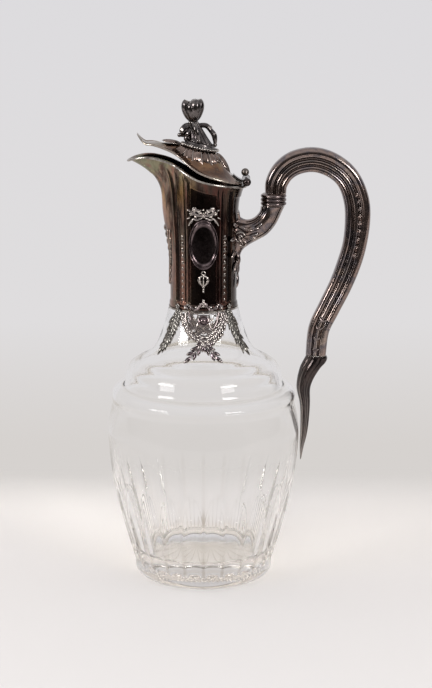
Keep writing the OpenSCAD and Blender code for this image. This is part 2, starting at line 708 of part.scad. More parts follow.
module finial_bud() {
    n = 36;
    // Each row is a share of the height and a share of the radius
    rows = [[0, 0.5], [0.06, 0.54], [0.2, 0.74], [0.4, 0.93], [0.58, 1], [0.74, 0.97],
        [0.88, 0.8], [0.96, 0.58], [1, 0.36], [0.93, 0.16]];
    color(dark_silver) difference() {
        on_drum_upright() translate([bud_x, 0, stalk_h + 0.1]) skin([
            for (v = rows) [
                for (k = [0 : n - 1])
                let(a = k * 360 / n, r = bud_r * v[1] * (1 - 0.06 * (1 - abs(cos(3 * a)))))
                [r * cos(a), r * sin(a), bud_h * v[0]]
            ]
        ]);
        on_drum_upright() translate([bud_x, 0, stalk_h - 1])
            cylinder(r = screw_hole, h = bud_h * 0.5 + 1, $fn = 24);
    }
}

nut_r = 2.6;
nut_h = 1.8;
nut_drop = drum_h / cos(finial_lean) + (nut_r - bud_x) * tan(finial_lean) + 0.3;
module finial_screw() {
    color("darkgray") on_drum_upright() translate([bud_x, 0, -nut_drop - nut_h - 0.6])
        cylinder(r = screw_r, h = nut_drop + nut_h + 0.6 + stalk_h + bud_h * 0.42, $fn = 24);
}

module finial_nut() {
    color("darkgray") on_drum_upright() translate([bud_x, 0, -nut_drop - nut_h]) difference() {
        cylinder(r = nut_r, h = nut_h, $fn = 6);
        translate([0, 0, -1]) cylinder(r = screw_hole, h = nut_h + 2, $fn = 24);
    }
}

// Handle, drawn in the plane y = 0

collar_z = mount_z + collar_up;
// Half of the loop's reeded section: a share of the width and a share of the half thickness
reeds = [[-0.5, 0.48], [-0.42, 0.82], [-0.28, 0.84], [-0.2, 0.66], [-0.12, 0.86], [0, 0.9],
    [0.07, 0.7], [0.15, 0.92], [0.3, 1], [0.44, 0.82], [0.5, 0.5]];
plain = [[-0.5, 0.3], [-0.36, 0.75], [-0.1, 0.95], [0.15, 1], [0.38, 0.75], [0.5, 0.3]];

// Rings of a band that follows stations of x, z, width and thickness, with a given half section.
// Its last ring is level, and so are all rings of a level band.
function band(p, section, level = false) = [
    for (i = [0 : len(p) - 1])
    let(m = len(p), q = p[max(0, i - 1)], s = p[min(m - 1, i + 1)],
        d = level || i == m - 1 ? [0, -1] : unit([s[0] - q[0], s[1] - q[1]]), nx = -d[1], nz = d[0])
    concat(
        [for (v = section) let(w = v[0] * p[i][2])
            [p[i][0] + nx * w, v[1] * p[i][3] / 2, p[i][1] + nz * w]],
        [for (k = [len(section) - 1 : -1 : 0]) let(v = section[k], w = v[0] * p[i][2])
            [p[i][0] + nx * w, -v[1] * p[i][3] / 2, p[i][1] + nz * w]])
];

loop_start = [collar_x + 1.2, collar_z + collar_h + seat];
tail_top_x = max(body_r, shoulder_r) + 9.6;
loop_end = [tail_top_x, loop_end_z];
// Stations of the loop: a share of the bulge, a share of the way down, the width, a share of the thickness
loop_shares = [
    [0, 0, 12.4, 0.9], [0.05, -0.06, 13, 0.92], [0.19, -0.13, 13.6, 0.96], [0.39, -0.18, 14.2, 1],
    [0.64, -0.2, 14.4, 1], [0.86, -0.18, 14.4, 1], [1.04, -0.125, 14.2, 1], [1.13, -0.05, 14.4, 1],
    [1.15, 0.06, 15, 1], [1.09, 0.18, 14.8, 1], [0.97, 0.315, 14.1, 1], [0.81, 0.44, 14, 1],
    [0.61, 0.57, 13.4, 0.96], [0.36, 0.71, 13, 0.92], [0.14, 0.84, 12.6, 0.9], [0, 1, 12, 0.86]
];
loop_path = [
    for (s = loop_shares)
    [loop_start[0] + (loop_end[0] - loop_start[0]) * s[1] + loop_bulge * s[0],
        lerp(loop_start[1], loop_end[1], s[1]), s[2], s[3] * loop_t]
];

module handle_loop() {
    color(dark_silver) skin(band(curve(loop_path, 3), reeds));
}

// Stations of the tail: x past the glass, height under the loop's end, width, thickness
tail_x = max(body_r, shoulder_r) + tail_gap;
tail_path = [
    for (s = [
        [9.5, -seat, 12, 9.4], [9.4, -2, 13.6, 9.5], [8.2, -4.6, 14, 9.6], [6, -8, 12.4, 9.4],
        [3.4, -14.2, 10, 8.6], [2.2, -20.5, 8.2, 7.6], [3.1, -28.5, 6.4, 6.4], [3.3, -35, 5.6, 5.6],
        [3, -43.5, 4.8, 4.6], [2.4, -50.5, 3.8, 3.4], [1.6, -56.5, 2.4, 2.2], [1, -64.5, 0.6, 0.8]])
    [tail_x + s[0], loop_end_z + s[1], s[2], s[3]]
];

module handle_tail() {
    color(dark_silver) skin(band(curve(tail_path, 2), plain, level = true));
}

// Stations of the root: the lower and the upper edge as a share of the way from sleeve to collar axis
// and a height under the collar's foot, then the thickness
root_edges = [
    [-0.15, 39, -0.15, 3, 11.5], [0, 35, 0, 5.3, 11.5], [0.12, 26.8, 0.17, 7.4, 11.2],
    [0.29, 23.2, 0.3, 7.8, 11], [0.52, 20.4, 0.44, 6.9, 10.6], [0.83, 16.6, 0.55, 5, 10.4],
    [1.07, 10.6, 0.62, 2.9, 10.4], [1.23, 3.6, 0.64, 1.3, 10.6], [1.31, 0, 0.64, 0, 11]
];
module handle_root() {
    share = (root_w - 28) / 2;
    rings = [
        for (e = curve(root_edges, 2))
        let(near = max(0, 0.2 - e[0]) * 5 * share,
            low = [lerp(sleeve_r, collar_x, e[0]), collar_z - seat - e[1] - near],
            high = [lerp(sleeve_r, collar_x, e[2]), collar_z - seat - e[3] + near])
        concat(
            [for (v = plain) let(q = lerp(high, low, 0.5 - v[0])) [q[0], v[1] * e[4] / 2, q[1]]],
            [for (k = [len(plain) - 1 : -1 : 0]) let(v = plain[k], q = lerp(high, low, 0.5 - v[0]))
                [q[0], -v[1] * e[4] / 2, q[1]]])
    ];
    z0 = collar_z - 50;
    color(dark_silver) difference() {
        skin(rings);
        rotate_extrude() polygon(concat([[0, z0]],
            [for (i = [0 : 10]) let(z = lerp(z0, collar_z + 2, i / 10)) [mount_r(0, z) + seat, z]],
            [[0, collar_z + 2]]));
    }
}

module handle_collar() {
    reed_h = collar_h / 3.4;
    color(silver) translate([collar_x, 0, collar_z]) {
        cylinder(r = collar_r - 1, h = collar_h);
        for (i = [0 : 2]) translate([0, 0, reed_h * (0.7 + i)]) rotate_extrude()
            translate([collar_r - reed_h / 2, 0]) circle(d = reed_h * 0.96, $fn = 24);
    }
}

function loop_at(t) = let(c = curve(loop_path, 3), i = round(t * (len(c) - 1))) c[i];
module on_loop(t, side) {
    p = loop_at(t);
    q = loop_at(t + 0.04);
    turn = atan2(q[0] - p[0], q[1] - p[1]);
    translate([p[0], side * (p[3] / 2 * 0.92 + seat), p[1]])
        rotate([0, turn, 0]) rotate([0, 0, side * 90]) children();
}

module handle_husks() {
    color(silver) for (side = [-1, 1], i = [0 : 5])
        on_loop(0.56 + i * 0.045, side) leaf(4.6, 3 - 0.2 * i, 1.1);
}

module handle_crescents() {
    color(silver) for (side = [-1, 1], i = [0 : 2]) on_loop(0.87 + i * 0.045, side) leaf(3.2, 5 - i, 1);
}

glass_body();
neck_cement();
neck_mount();
mount_foot_ring();
mouth_wire();
cartouche(-90);  // front_cartouche
cartouche(90);  // back_cartouche
bow(-90);  // front_bow
bow(90);  // back_bow
pendant(-90);  // front_pendant
pendant(90);  // back_pendant
shield(-90);  // front_shield
shield(90);  // back_shield
swag(-90);  // front_swag
swag(90);  // back_swag
sprigs(-90);  // front_sprigs
sprigs(90);  // back_sprigs
branches(180);  // spout_branches
branches(0);  // handle_branches
pilaster_husks();
spout_ribbon();
fixed_knuckles();
hinge_pin();
lid_cover();
lid_hinge_leaf();
thumb_knob();
lid_drum();
lid_bead_ring();
lid_leaf();
finial_stalk();
finial_scrolls();
finial_bud();
finial_screw();
finial_nut();
handle_root();
handle_collar();
handle_loop();
handle_tail();
handle_husks();
handle_crescents();
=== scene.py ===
# A claret jug of cut glass with a tarnished silver neck mount, a hinged lid and a scroll handle.
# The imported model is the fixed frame: spout towards -X, handle towards +X, the foot resting on z = 0.
# Points are worked out in millimetres and become metres when a mesh is made.
import json
import math

import bmesh
import bpy
import numpy as np
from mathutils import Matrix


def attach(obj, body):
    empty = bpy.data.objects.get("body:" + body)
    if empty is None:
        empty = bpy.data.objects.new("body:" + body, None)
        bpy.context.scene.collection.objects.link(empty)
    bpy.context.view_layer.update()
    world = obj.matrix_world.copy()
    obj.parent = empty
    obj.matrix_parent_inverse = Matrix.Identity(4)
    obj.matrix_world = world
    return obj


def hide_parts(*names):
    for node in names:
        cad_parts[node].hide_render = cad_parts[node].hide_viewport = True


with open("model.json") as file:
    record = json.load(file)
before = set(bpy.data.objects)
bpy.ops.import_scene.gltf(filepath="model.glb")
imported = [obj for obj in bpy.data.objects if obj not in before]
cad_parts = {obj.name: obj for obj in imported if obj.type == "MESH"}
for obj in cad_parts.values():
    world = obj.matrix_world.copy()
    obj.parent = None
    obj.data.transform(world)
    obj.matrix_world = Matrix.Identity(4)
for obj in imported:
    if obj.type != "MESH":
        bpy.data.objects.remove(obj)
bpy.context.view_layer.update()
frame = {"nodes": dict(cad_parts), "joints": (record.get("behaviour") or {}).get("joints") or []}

# Table and backdrop
# One sweep of matt white paper that starts to rise close behind the jug. Its risen part glows in a set
# colour to the camera, to metal and to glass. That colour is painted shade: darkest in the fold, lighter
# above it and a little darker again high up. Its floor is only shaded, so it keeps the jug's shadow. A
# camera behind the jug looks through the paper's back.
MM = 0.001
rise_start = 60
rise_radius = 480
paper_width = 2600
paper_front = -620
paper_top = 1700
paper_floor = "#DEDAD8"
paper_fold_shade = "#D6D2CF"
paper_middle = "#DFDDDE"
paper_upper = "#DBDADE"


def linear(code):
    """The linear colour of an sRGB hex value."""
    parts = [int(code[i : i + 2], 16) / 255 for i in (1, 3, 5)]
    return (*[c / 12.92 if c <= 0.04045 else ((c + 0.055) / 1.055) ** 2.4 for c in parts], 1.0)


def add(tree, kind, inputs=(), **settings):
    """Adds a node of a kind, or for a kind in capitals the maths node of that operation.
    Inputs go by place, or by name or number: each is a value, a socket, or a node for its first output."""
    made = tree.nodes.new("ShaderNodeMath" if kind.isupper() else kind)
    if kind.isupper():
        made.operation = kind
    for name, value in settings.items():
        setattr(made, name, value)
    for key, value in inputs.items() if isinstance(inputs, dict) else enumerate(inputs):
        if isinstance(value, bpy.types.Node):
            value = value.outputs[0]
        if isinstance(value, bpy.types.NodeSocket):
            tree.links.new(value, made.inputs[key])
        else:
            made.inputs[key].default_value = value
    return made


def fill_ramp(ramp, stops):
    """Sets a colour ramp's stops, each a place and a hex colour."""
    while len(ramp.color_ramp.elements) < len(stops):
        ramp.color_ramp.elements.new(0.5)
    for element, (place, code) in zip(ramp.color_ramp.elements, stops):
        element.position = place
        element.color = linear(code)


def shell(name, points, faces, material):
    """A mesh object from points in millimetres, doubles merged and faces turned outwards."""
    mesh = bpy.data.meshes.new(name)
    mesh.from_pydata((np.asarray(points, float) * MM).tolist(), [], faces)
    made = bmesh.new()
    made.from_mesh(mesh)
    bmesh.ops.remove_doubles(made, verts=made.verts, dist=0.002 * MM)
    bmesh.ops.dissolve_degenerate(made, edges=made.edges, dist=0.0005 * MM)
    bmesh.ops.recalc_face_normals(made, faces=made.faces)
    for face in made.faces:
        face.smooth = True
    made.to_mesh(mesh)
    made.free()
    mesh.materials.append(material)
    piece = bpy.data.objects.new(name, mesh)
    bpy.context.scene.collection.objects.link(piece)
    return piece


def blank(name):
    """A new material and its empty node tree."""
    material = bpy.data.materials.new(name)
    material.use_nodes = True
    material.node_tree.nodes.clear()
    return material, material.node_tree


def paper_material():
    """Matt card. Light Path tells camera, metal and glass to see the risen paper glow in a set colour, a
    painted shade that is darkest in the fold.
    """
    material, tree = blank("matt_card")
    place = add(tree, "ShaderNodeSeparateXYZ", [add(tree, "ShaderNodeTexCoord").outputs["Object"]])
    height = add(tree, "ShaderNodeMapRange", [place.outputs[2], 0.0, 0.7])
    tone = add(tree, "ShaderNodeValToRGB", [height])
    # Painted shade on the risen paper: darkest in the fold, lighter above it, a little darker again near the
    # top.
    fill_ramp(tone, [(0, paper_fold_shade), (0.03, paper_fold_shade), (0.12, paper_middle), (0.8, paper_upper)])
    path = add(tree, "ShaderNodeLightPath")
    seen = add(tree, "ADD", [path.outputs["Is Camera Ray"], path.outputs["Is Glossy Ray"]], use_clamp=True)
    seen = add(tree, "ADD", [seen, path.outputs["Is Transmission Ray"]], use_clamp=True)
    risen = add(tree, "ShaderNodeMapRange", [place.outputs[2], 0.0005, 0.012],
                interpolation_type="SMOOTHSTEP")
    share = add(tree, "MULTIPLY", [seen, risen])
    card = add(tree, "ShaderNodeBsdfDiffuse", {"Color": linear(paper_floor)})
    glow = add(tree, "ShaderNodeEmission", {"Color": tone.outputs[0], "Strength": 1.0})
    both = add(tree, "ShaderNodeMixShader", [share, card, glow])
    behind = add(tree, "ShaderNodeNewGeometry").outputs["Backfacing"]
    behind = add(tree, "MULTIPLY", [path.outputs["Is Camera Ray"], behind])
    both = add(tree, "ShaderNodeMixShader", [behind, both, add(tree, "ShaderNodeBsdfTransparent")])
    add(tree, "ShaderNodeOutputMaterial", [both])
    return material


turn = np.radians(np.linspace(0, 90, 25))
sweep = [(paper_front, 0.0), *zip(rise_start + rise_radius * np.sin(turn), rise_radius * (1 - np.cos(turn)))]
sweep.append((rise_start + rise_radius, paper_top))
paper = shell("paper_sweep", [(x, y, z) for y, z in sweep for x in (-paper_width / 2, paper_width / 2)],
              [[2 * i, 2 * i + 1, 2 * i + 3, 2 * i + 2] for i in range(len(sweep) - 1)], paper_material())
if paper.data.polygons[0].normal.z < 0:
    paper.data.flip_normals()

# Camera and light
# The photograph was taken from a little over a metre away, looking down by some 12.6 degrees, with the jug
# left of the middle. Two windows light it from the left and the right; the room behind the camera is dim.
camera_away = 1009
camera_height = 365
camera_down = 12.57
camera_lens = 90.94
camera_shift = 0.0182
lamps = {
    "left_window": dict(azimuth=-58, elevation=20, away=1500, size=(640, 300), watts=11.6),
    "right_window": dict(azimuth=39, elevation=20, away=1500, size=(560, 290), watts=10.8),
}
lamp_aim = (0, 0, 140)
room_dim, room_bright, room_pale = "#4E4B4A", "#E9EAEC", "#D9D7D7"

camera = bpy.data.objects.new("camera", bpy.data.cameras.new("camera"))
camera.location = (0, -camera_away * MM, camera_height * MM)
camera.rotation_euler = (math.radians(90 - camera_down), 0, 0)
camera.data.lens = camera_lens
camera.data.shift_x = camera_shift
bpy.context.scene.collection.objects.link(camera)
bpy.context.scene.camera = camera
bpy.context.scene.view_settings.view_transform = "Standard"

for name, lamp in lamps.items():
    light = bpy.data.lights.new(name, "AREA")
    light.shape = "RECTANGLE"
    light.size, light.size_y = (side * MM for side in lamp["size"])
    light.energy = lamp["watts"]
    window = bpy.data.objects.new(name, light)
    around, up = math.radians(lamp["azimuth"]), math.radians(lamp["elevation"])
    away = np.array([math.sin(around) * math.cos(up), -math.cos(around) * math.cos(up), math.sin(up)])
    window.location = (np.array(lamp_aim) + away * lamp["away"]) * MM
    window.rotation_euler = (math.pi / 2 - up, 0, around)
    bpy.context.scene.collection.objects.link(window)

world = bpy.data.worlds.new("room")
bpy.context.scene.world = world
world.use_nodes = True
world.node_tree.nodes.clear()
facing = add(world.node_tree, "ShaderNodeSeparateXYZ",
             [add(world.node_tree, "ShaderNodeTexCoord").outputs["Generated"]])
overhead = add(world.node_tree, "ShaderNodeMapRange", [facing.outputs[2], 0.05, 0.75],
               interpolation_type="SMOOTHSTEP")
room = add(world.node_tree, "ShaderNodeValToRGB", [overhead])
fill_ramp(room, [(0, room_dim), (1, room_bright)])
air = add(world.node_tree, "ShaderNodeBackground", {"Color": room.outputs[0], "Strength": 1.1})
pale = add(world.node_tree, "ShaderNodeBackground", {"Color": linear(room_pale), "Strength": 1.0})
path = add(world.node_tree, "ShaderNodeLightPath")
through = add(world.node_tree, "MAXIMUM", [path.outputs["Is Transmission Ray"],
                                           path.outputs["Is Camera Ray"]])
add(world.node_tree, "ShaderNodeOutputWorld", [add(world.node_tree, "ShaderNodeMixShader",
                                                   [through, air, pale])])

# Glass body
# Blown clear glass with a faint warm tint, cut by a wheel into 24 flutes that run out on the belly, with a
# toothed belt cut round the foot. It is lathed from one line, wall and thick base included.
foot_r, band_r, band_h = 37.8, 41.2, 7.6
body_r, belly_z = 57.2, 87
waist_r, waist_z = 54.2, 105.5
shoulder_r, shoulder_z = 54.8, 109.6
step_r, step_z, step_h = 46.8, 116, 4.3
glass_wall, wall_top, base_t, floor_fillet = 4, 2.4, 16, 4
neck_bore_r, neck_in = 14.5, 24
flutes, flute_depth, flute_z, wheel_r = 24, 1.35, 63, 10
mount_z, sleeve_r, mount_wall = 164, 20, 1.4
teeth, tooth_depth = 96, 0.55
lower_r0, lower_z0 = band_r + 0.4, band_h + 0.9
dome_z = step_z + step_h
glass_neck_r = sleeve_r - mount_wall - 0.6
glass_top = mount_z + neck_in
glass_around = 480
glass_tint, glass_clear, glass_density, glass_ior, straight_after = "#EEEBE8", "#F4F3F0", 14.0, 1.3, 5.5
# Painted shade along the flute arrises: its height over the base and its grey.
arris_z, arris_shade_grey = 14, "#D8D3CD"


def lerp(a, b, t):
    return a + (b - a) * t


def curve(stations, steps):
    """A smooth curve through stations of any number of values, with that many steps between two stations."""
    p = np.asarray(stations, float)
    rows = []
    for i in range(len(p) - 1):
        before, a, b, after = p[max(0, i - 1)], p[i], p[i + 1], p[min(len(p) - 1, i + 2)]
        for t in np.arange(steps) / steps:
            rows.append(0.5 * (2 * a + (b - before) * t + (2 * before - 5 * a + 4 * b - after) * t**2
                               + (3 * a - before - 3 * b + after) * t**3))
    return np.array([*rows, p[-1]])


def lower_r(z):
    """Radius of the fluted lower body before the flutes are cut."""
    return lower_r0 + (body_r - lower_r0) * (1 - (1 - (z - lower_z0) / (belly_z - lower_z0)) ** 1.72)


dome = curve([(dome_z, step_r), (dome_z + 4.7, step_r - 0.8), (dome_z + 9.2, step_r - 3.8),
              (dome_z + 12.7, step_r - 9.8), (136.8, 31), (143.5, 26.6), (153.1, 23.2),
              (mount_z - 1.2, sleeve_r + 0.5)], 6)


def glass_r(z):
    """Radius of the glass dome that the silver leaves lie on."""
    return np.interp(z, dome[:, 0], dome[:, 1])


def glass_line():
    """Points r, z of the glass from the foot's middle over the outside to the floor's middle inside."""
    quarter = np.radians(np.linspace(0, 90, 13))
    line = [(0, 1.4), (foot_r - 9, 1.2), (foot_r - 4, 0.3), (foot_r - 1.6, 0)]
    line += [(foot_r + (band_r - foot_r) * math.sin(a), 0.55 * band_h * (1 - math.cos(a))) for a in quarter]
    line += [(band_r, z) for z in np.linspace(0.62 * band_h, band_h - 0.5, 5)]
    line += [(band_r - 0.5, band_h), (lower_r0 - 0.5, band_h + 0.5), (lower_r0, lower_z0)]
    line += [(lower_r(z), z) for z in np.linspace(lower_z0, belly_z, 42)[1:]]
    line += [(waist_r + (body_r - waist_r) * math.cos(math.pi / 2 * t), belly_z + (waist_z - belly_z) * t)
             for t in np.linspace(0.1, 1, 9)]
    line += [(shoulder_r - 0.2, 107.8)]
    line += [(step_r + 0.6 + (shoulder_r - step_r - 0.6) * math.cos(a),
              shoulder_z + (step_z - shoulder_z) * math.sin(a)) for a in quarter]
    line += [(step_r, step_z + 0.4)]
    line += [(r, z) for z, r in dome]
    line += [(glass_neck_r, mount_z - 1.2), (glass_neck_r, glass_top), (neck_bore_r, glass_top)]
    line += [(neck_bore_r, z) for z in (178, mount_z)]
    inner = curve([(mount_z, neck_bore_r), (153.1, 23.2 - wall_top), (143, 26.8 - wall_top),
                   (135.4, 31.4 - wall_top), (130.6, step_r - 9.8 - wall_top / 2),
                   (126.6, step_r - 4.6 - wall_top / 2), (121.5, step_r - 1.3 - wall_top),
                   (117.6, step_r - 0.4 - wall_top), (115, step_r + 0.9 - wall_top), (113.5, 50 - wall_top),
                   (112, 52.8 - wall_top), (109.4, shoulder_r - 0.3 - wall_top), (105, waist_r - wall_top),
                   (96, 55.8 - wall_top), (belly_z, body_r - wall_top)], 6)
    line += [(r, z) for z, r in inner[1:]]
    line += [(lower_r(z) - lerp(glass_wall, wall_top, (z - base_t) / (belly_z - base_t)), z)
             for z in np.linspace(belly_z, base_t + floor_fillet, 22)[1:]]
    floor_r = lower_r(base_t + floor_fillet) - glass_wall
    line += [(floor_r - floor_fillet * (1 - math.sin(a)), base_t + floor_fillet * (1 - math.cos(a)))
             for a in quarter[::-1][1:]]
    line += [(floor_r / 2, base_t - 0.4), (0, base_t - 0.6)]
    return np.array(line)


def node_tree(name, inputs):
    """A geometry tree with named inputs, each a socket type and default; returns tree, input and output."""
    tree = bpy.data.node_groups.new(name, "GeometryNodeTree")
    tree.interface.new_socket("Geometry", in_out="INPUT", socket_type="NodeSocketGeometry")
    tree.interface.new_socket("Geometry", in_out="OUTPUT", socket_type="NodeSocketGeometry")
    for label, (kind, value) in inputs.items():
        socket = tree.interface.new_socket(label, in_out="INPUT", socket_type=kind)
        if value is not None:
            socket.default_value = value
    return tree, tree.nodes.new("NodeGroupInput"), tree.nodes.new("NodeGroupOutput")


def end_tree(tree, made, given, result):
    """Ends a tree with what it made, as real and smooth faces of the given material, and returns it."""
    smooth = add(tree, "GeometryNodeSetShadeSmooth", [add(tree, "GeometryNodeRealizeInstances", [made])])
    tree.links.new(add(tree, "GeometryNodeSetMaterial",
                       {0: smooth, 2: given.outputs["Material"]}).outputs[0],
                   result.inputs[0])
    return tree


def grow(name, tree, points, attributes, inputs):
    """Runs a geometry tree on points in millimetres that carry attributes; returns a plain mesh object."""
    mesh = bpy.data.meshes.new(name)
    mesh.from_pydata((np.asarray(points, float) * MM).tolist(), [], [])
    for label, values in attributes.items():
        values = np.asarray(values, np.float32)
        vector = values.ndim == 2
        made = mesh.attributes.new(label, "FLOAT_VECTOR" if vector else "FLOAT", "POINT")
        made.data.foreach_set("vector" if vector else "value", values.ravel())
    seed = bpy.data.objects.new(name + "_seed", mesh)
    bpy.context.scene.collection.objects.link(seed)
    modifier = seed.modifiers.new("tree", "NODES")
    modifier.node_group = tree
    for item in tree.interface.items_tree:
        if item.in_out == "INPUT" and item.name in inputs:
            modifier[item.identifier] = inputs[item.name]
    graph = bpy.context.evaluated_depsgraph_get()
    grown = bpy.data.meshes.new_from_object(seed.evaluated_get(graph), depsgraph=graph)
    seed.modifiers.clear()
    bpy.data.objects.remove(seed)
    grown.name = name
    piece = bpy.data.objects.new(name, grown)
    bpy.context.scene.collection.objects.link(piece)
    return piece


def lathe_tree():
    """Turns a line of points (x the radius, z the height) about Z, then cuts flutes and teeth into it."""
    tree, given, result = node_tree("cut_glass_lathe", {
        "Line points": ("NodeSocketInt", 2), "Around": ("NodeSocketInt", 96),
        "Flutes": ("NodeSocketInt", 24), "Flute foot radius": ("NodeSocketFloat", 0.04),
        "Flute slope": ("NodeSocketFloat", 0.2), "Wheel radius": ("NodeSocketFloat", 0.013),
        "Flute foot": ("NodeSocketFloat", 0.0085), "Teeth": ("NodeSocketInt", 96),
        "Tooth depth": ("NodeSocketFloat", 0.0005), "Material": ("NodeSocketMaterial", None)})
    side = add(tree, "ADD", [given.outputs["Around"], 1])
    grid = add(tree, "GeometryNodeMeshGrid", {2: given.outputs["Line points"], 3: side})
    index = add(tree, "GeometryNodeInputIndex")
    along = add(tree, "FLOOR", [add(tree, "DIVIDE", [add(tree, "ADD", [index, 0.5]), side])])
    column = add(tree, "SUBTRACT", [index, add(tree, "MULTIPLY", [along, side])])
    place = add(tree, "GeometryNodeSampleIndex", {0: given.outputs[0],
                                                  1: add(tree, "GeometryNodeInputPosition"), "Index": along},
                                                  data_type="FLOAT_VECTOR")
    cut = add(tree, "GeometryNodeInputNamedAttribute", ["cut"], data_type="FLOAT_VECTOR")
    cut = add(tree, "GeometryNodeSampleIndex", {0: given.outputs[0], 1: cut, "Index": along},
              data_type="FLOAT_VECTOR")
    place = add(tree, "ShaderNodeSeparateXYZ", [place])
    cut = add(tree, "ShaderNodeSeparateXYZ", [cut])
    radius, height = place.outputs[0], place.outputs[2]
    angle = add(tree, "MULTIPLY", [add(tree, "DIVIDE", [column, given.outputs["Around"]]), 2 * math.pi])
    pitch = add(tree, "DIVIDE", [2 * math.pi, given.outputs["Flutes"]])
    off = add(tree, "SUBTRACT", [add(tree, "MODULO", [angle, pitch]), add(tree, "DIVIDE", [pitch, 2])])
    chord = add(tree, "MULTIPLY", [radius, off])
    bend = add(tree, "ADD", [add(tree, "DIVIDE", [0.5, given.outputs["Wheel radius"]]),
                             add(tree, "DIVIDE", [0.5, add(tree, "MAXIMUM", [radius, 0.001])])])
    floor = add(tree, "ADD", [given.outputs["Flute foot radius"],
                              add(tree, "MULTIPLY",
                                  [add(tree, "SUBTRACT", [height, given.outputs["Flute foot"]]),
                                   given.outputs["Flute slope"]])])
    depth = add(tree, "SUBTRACT", [add(tree, "SUBTRACT", [radius, floor]),
                                   add(tree, "MULTIPLY", [add(tree, "MULTIPLY", [chord, chord]), bend])])
    depth = add(tree, "MULTIPLY", [add(tree, "MAXIMUM", [depth, 0]), cut.outputs[0]])
    wave = add(tree, "COSINE", [add(tree, "ADD", [add(tree, "MULTIPLY", [angle, given.outputs["Teeth"]]),
                                                  cut.outputs[2]])])
    tooth = add(tree, "MULTIPLY", [add(tree, "MULTIPLY", [add(tree, "ADD", [wave, 1]), 0.5]),
                                   add(tree, "MULTIPLY", [given.outputs["Tooth depth"], cut.outputs[1]])])
    reach = add(tree, "SUBTRACT", [add(tree, "SUBTRACT", [radius, depth]), tooth])
    spot = add(tree, "ShaderNodeCombineXYZ", [add(tree, "MULTIPLY", [reach, add(tree, "COSINE", [angle])]),
                                              add(tree, "MULTIPLY", [reach, add(tree, "SINE", [angle])]),
                                              height])
    turned = add(tree, "GeometryNodeSetPosition", {0: add(tree, "GeometryNodeFlipFaces", [grid]), 2: spot})
    closed = add(tree, "GeometryNodeMergeByDistance", {0: turned, "Distance": 0.004 * MM})
    return end_tree(tree, closed, given, result)


def clear_glass():
    """Lead glass, blown and polished: a faint warm tint where it is thick, and painted shade, a grey along
    the flute arrises over the base.
    Its index is below real glass's and a trapped ray goes straight on, so that the wall draws faint."""
    material, tree = blank("clear_lead_glass")
    place = add(tree, "ShaderNodeSeparateXYZ", [add(tree, "ShaderNodeTexCoord").outputs["Object"]])
    turned = add(tree, "ARCTAN2", [place.outputs[1], place.outputs[0]])
    turned = add(tree, "DIVIDE", [turned, 2 * math.pi / flutes])
    off = add(tree, "PINGPONG", [turned, 0.5])
    ridge = add(tree, "ShaderNodeMapRange", [off, 0.03, 0.13, 1.0, 0.0], interpolation_type="SMOOTHSTEP")
    over_base = add(tree, "ShaderNodeMapRange", [place.outputs[2], arris_z * MM, 1.7 * arris_z * MM, 1.0,
                                                 0.12], interpolation_type="SMOOTHSTEP")
    below_top = add(tree, "ShaderNodeMapRange", [place.outputs[2], 0.8 * flute_z * MM, flute_z * MM, 1.0,
                                                 0.0])
    above_foot = add(tree, "ShaderNodeMapRange", [place.outputs[2], band_h * MM, lower_z0 * MM])
    ridge = add(tree, "MULTIPLY", [ridge, above_foot])
    ridge = add(tree, "MULTIPLY", [ridge, over_base])
    ridge = add(tree, "MULTIPLY", [ridge, below_top])
    # Painted shade: grey mixed into the glass along the flute arrises, strongest over the base, for the dark
    # lines of the cut edges.
    tone = add(tree, "ShaderNodeMix", {0: ridge, 6: (1, 1, 1, 1), 7: linear(arris_shade_grey)}, data_type="RGBA")
    glass = add(tree, "ShaderNodeBsdfPrincipled", {"Base Color": tone.outputs[2], "Roughness": 0.0,
                                                   "IOR": glass_ior, "Transmission Weight": 1.0})
    clear = add(tree, "ShaderNodeBsdfTransparent", [linear(glass_clear)])
    path = add(tree, "ShaderNodeLightPath")
    trapped = add(tree, "GREATER_THAN", [path.outputs["Ray Depth"], straight_after])
    straight = add(tree, "MAXIMUM", [path.outputs["Is Shadow Ray"], trapped])
    surface = add(tree, "ShaderNodeMixShader", [straight, glass, clear])
    tint = add(tree, "ShaderNodeVolumeAbsorption", {"Color": linear(glass_tint), "Density": glass_density})
    add(tree, "ShaderNodeOutputMaterial", [surface, tint])
    return material


def dress(piece, body, slot, *nodes):
    """Puts a piece on its body, in place of its nodes. The slot is not used."""
    if nodes:
        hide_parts(*nodes)
    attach(piece, body)


glass_points = glass_line()
top_of_outside = int(np.argmax(glass_points[:, 1]))
is_outside = np.arange(len(glass_points)) <= top_of_outside
radii, heights = glass_points[:, 0], glass_points[:, 1]
fluted = is_outside & (heights >= lower_z0 - 0.01) & (heights < flute_z + 8)
toothed = np.where(is_outside, np.clip(1 - np.abs(heights - 0.78 * band_h) / (0.22 * band_h), 0, 1) ** 0.5,
                   0)
flute_slope = (lower_r(flute_z) - (lower_r0 - flute_depth)) / (flute_z - lower_z0)
glass = grow("glass_body_cut", lathe_tree(), np.column_stack([radii, 0 * radii, heights]),
             {"cut": np.column_stack([fluted, toothed, heights * 1.2])},
             {"Line points": len(glass_points), "Around": glass_around, "Flutes": flutes,
              "Flute foot radius": (lower_r0 - flute_depth) * MM, "Flute slope": flute_slope,
              "Wheel radius": wheel_r * MM, "Flute foot": lower_z0 * MM, "Teeth": teeth,
              "Tooth depth": tooth_depth * MM, "Material": clear_glass()})
dress(glass, "root", "cut_glass", "glass_body")

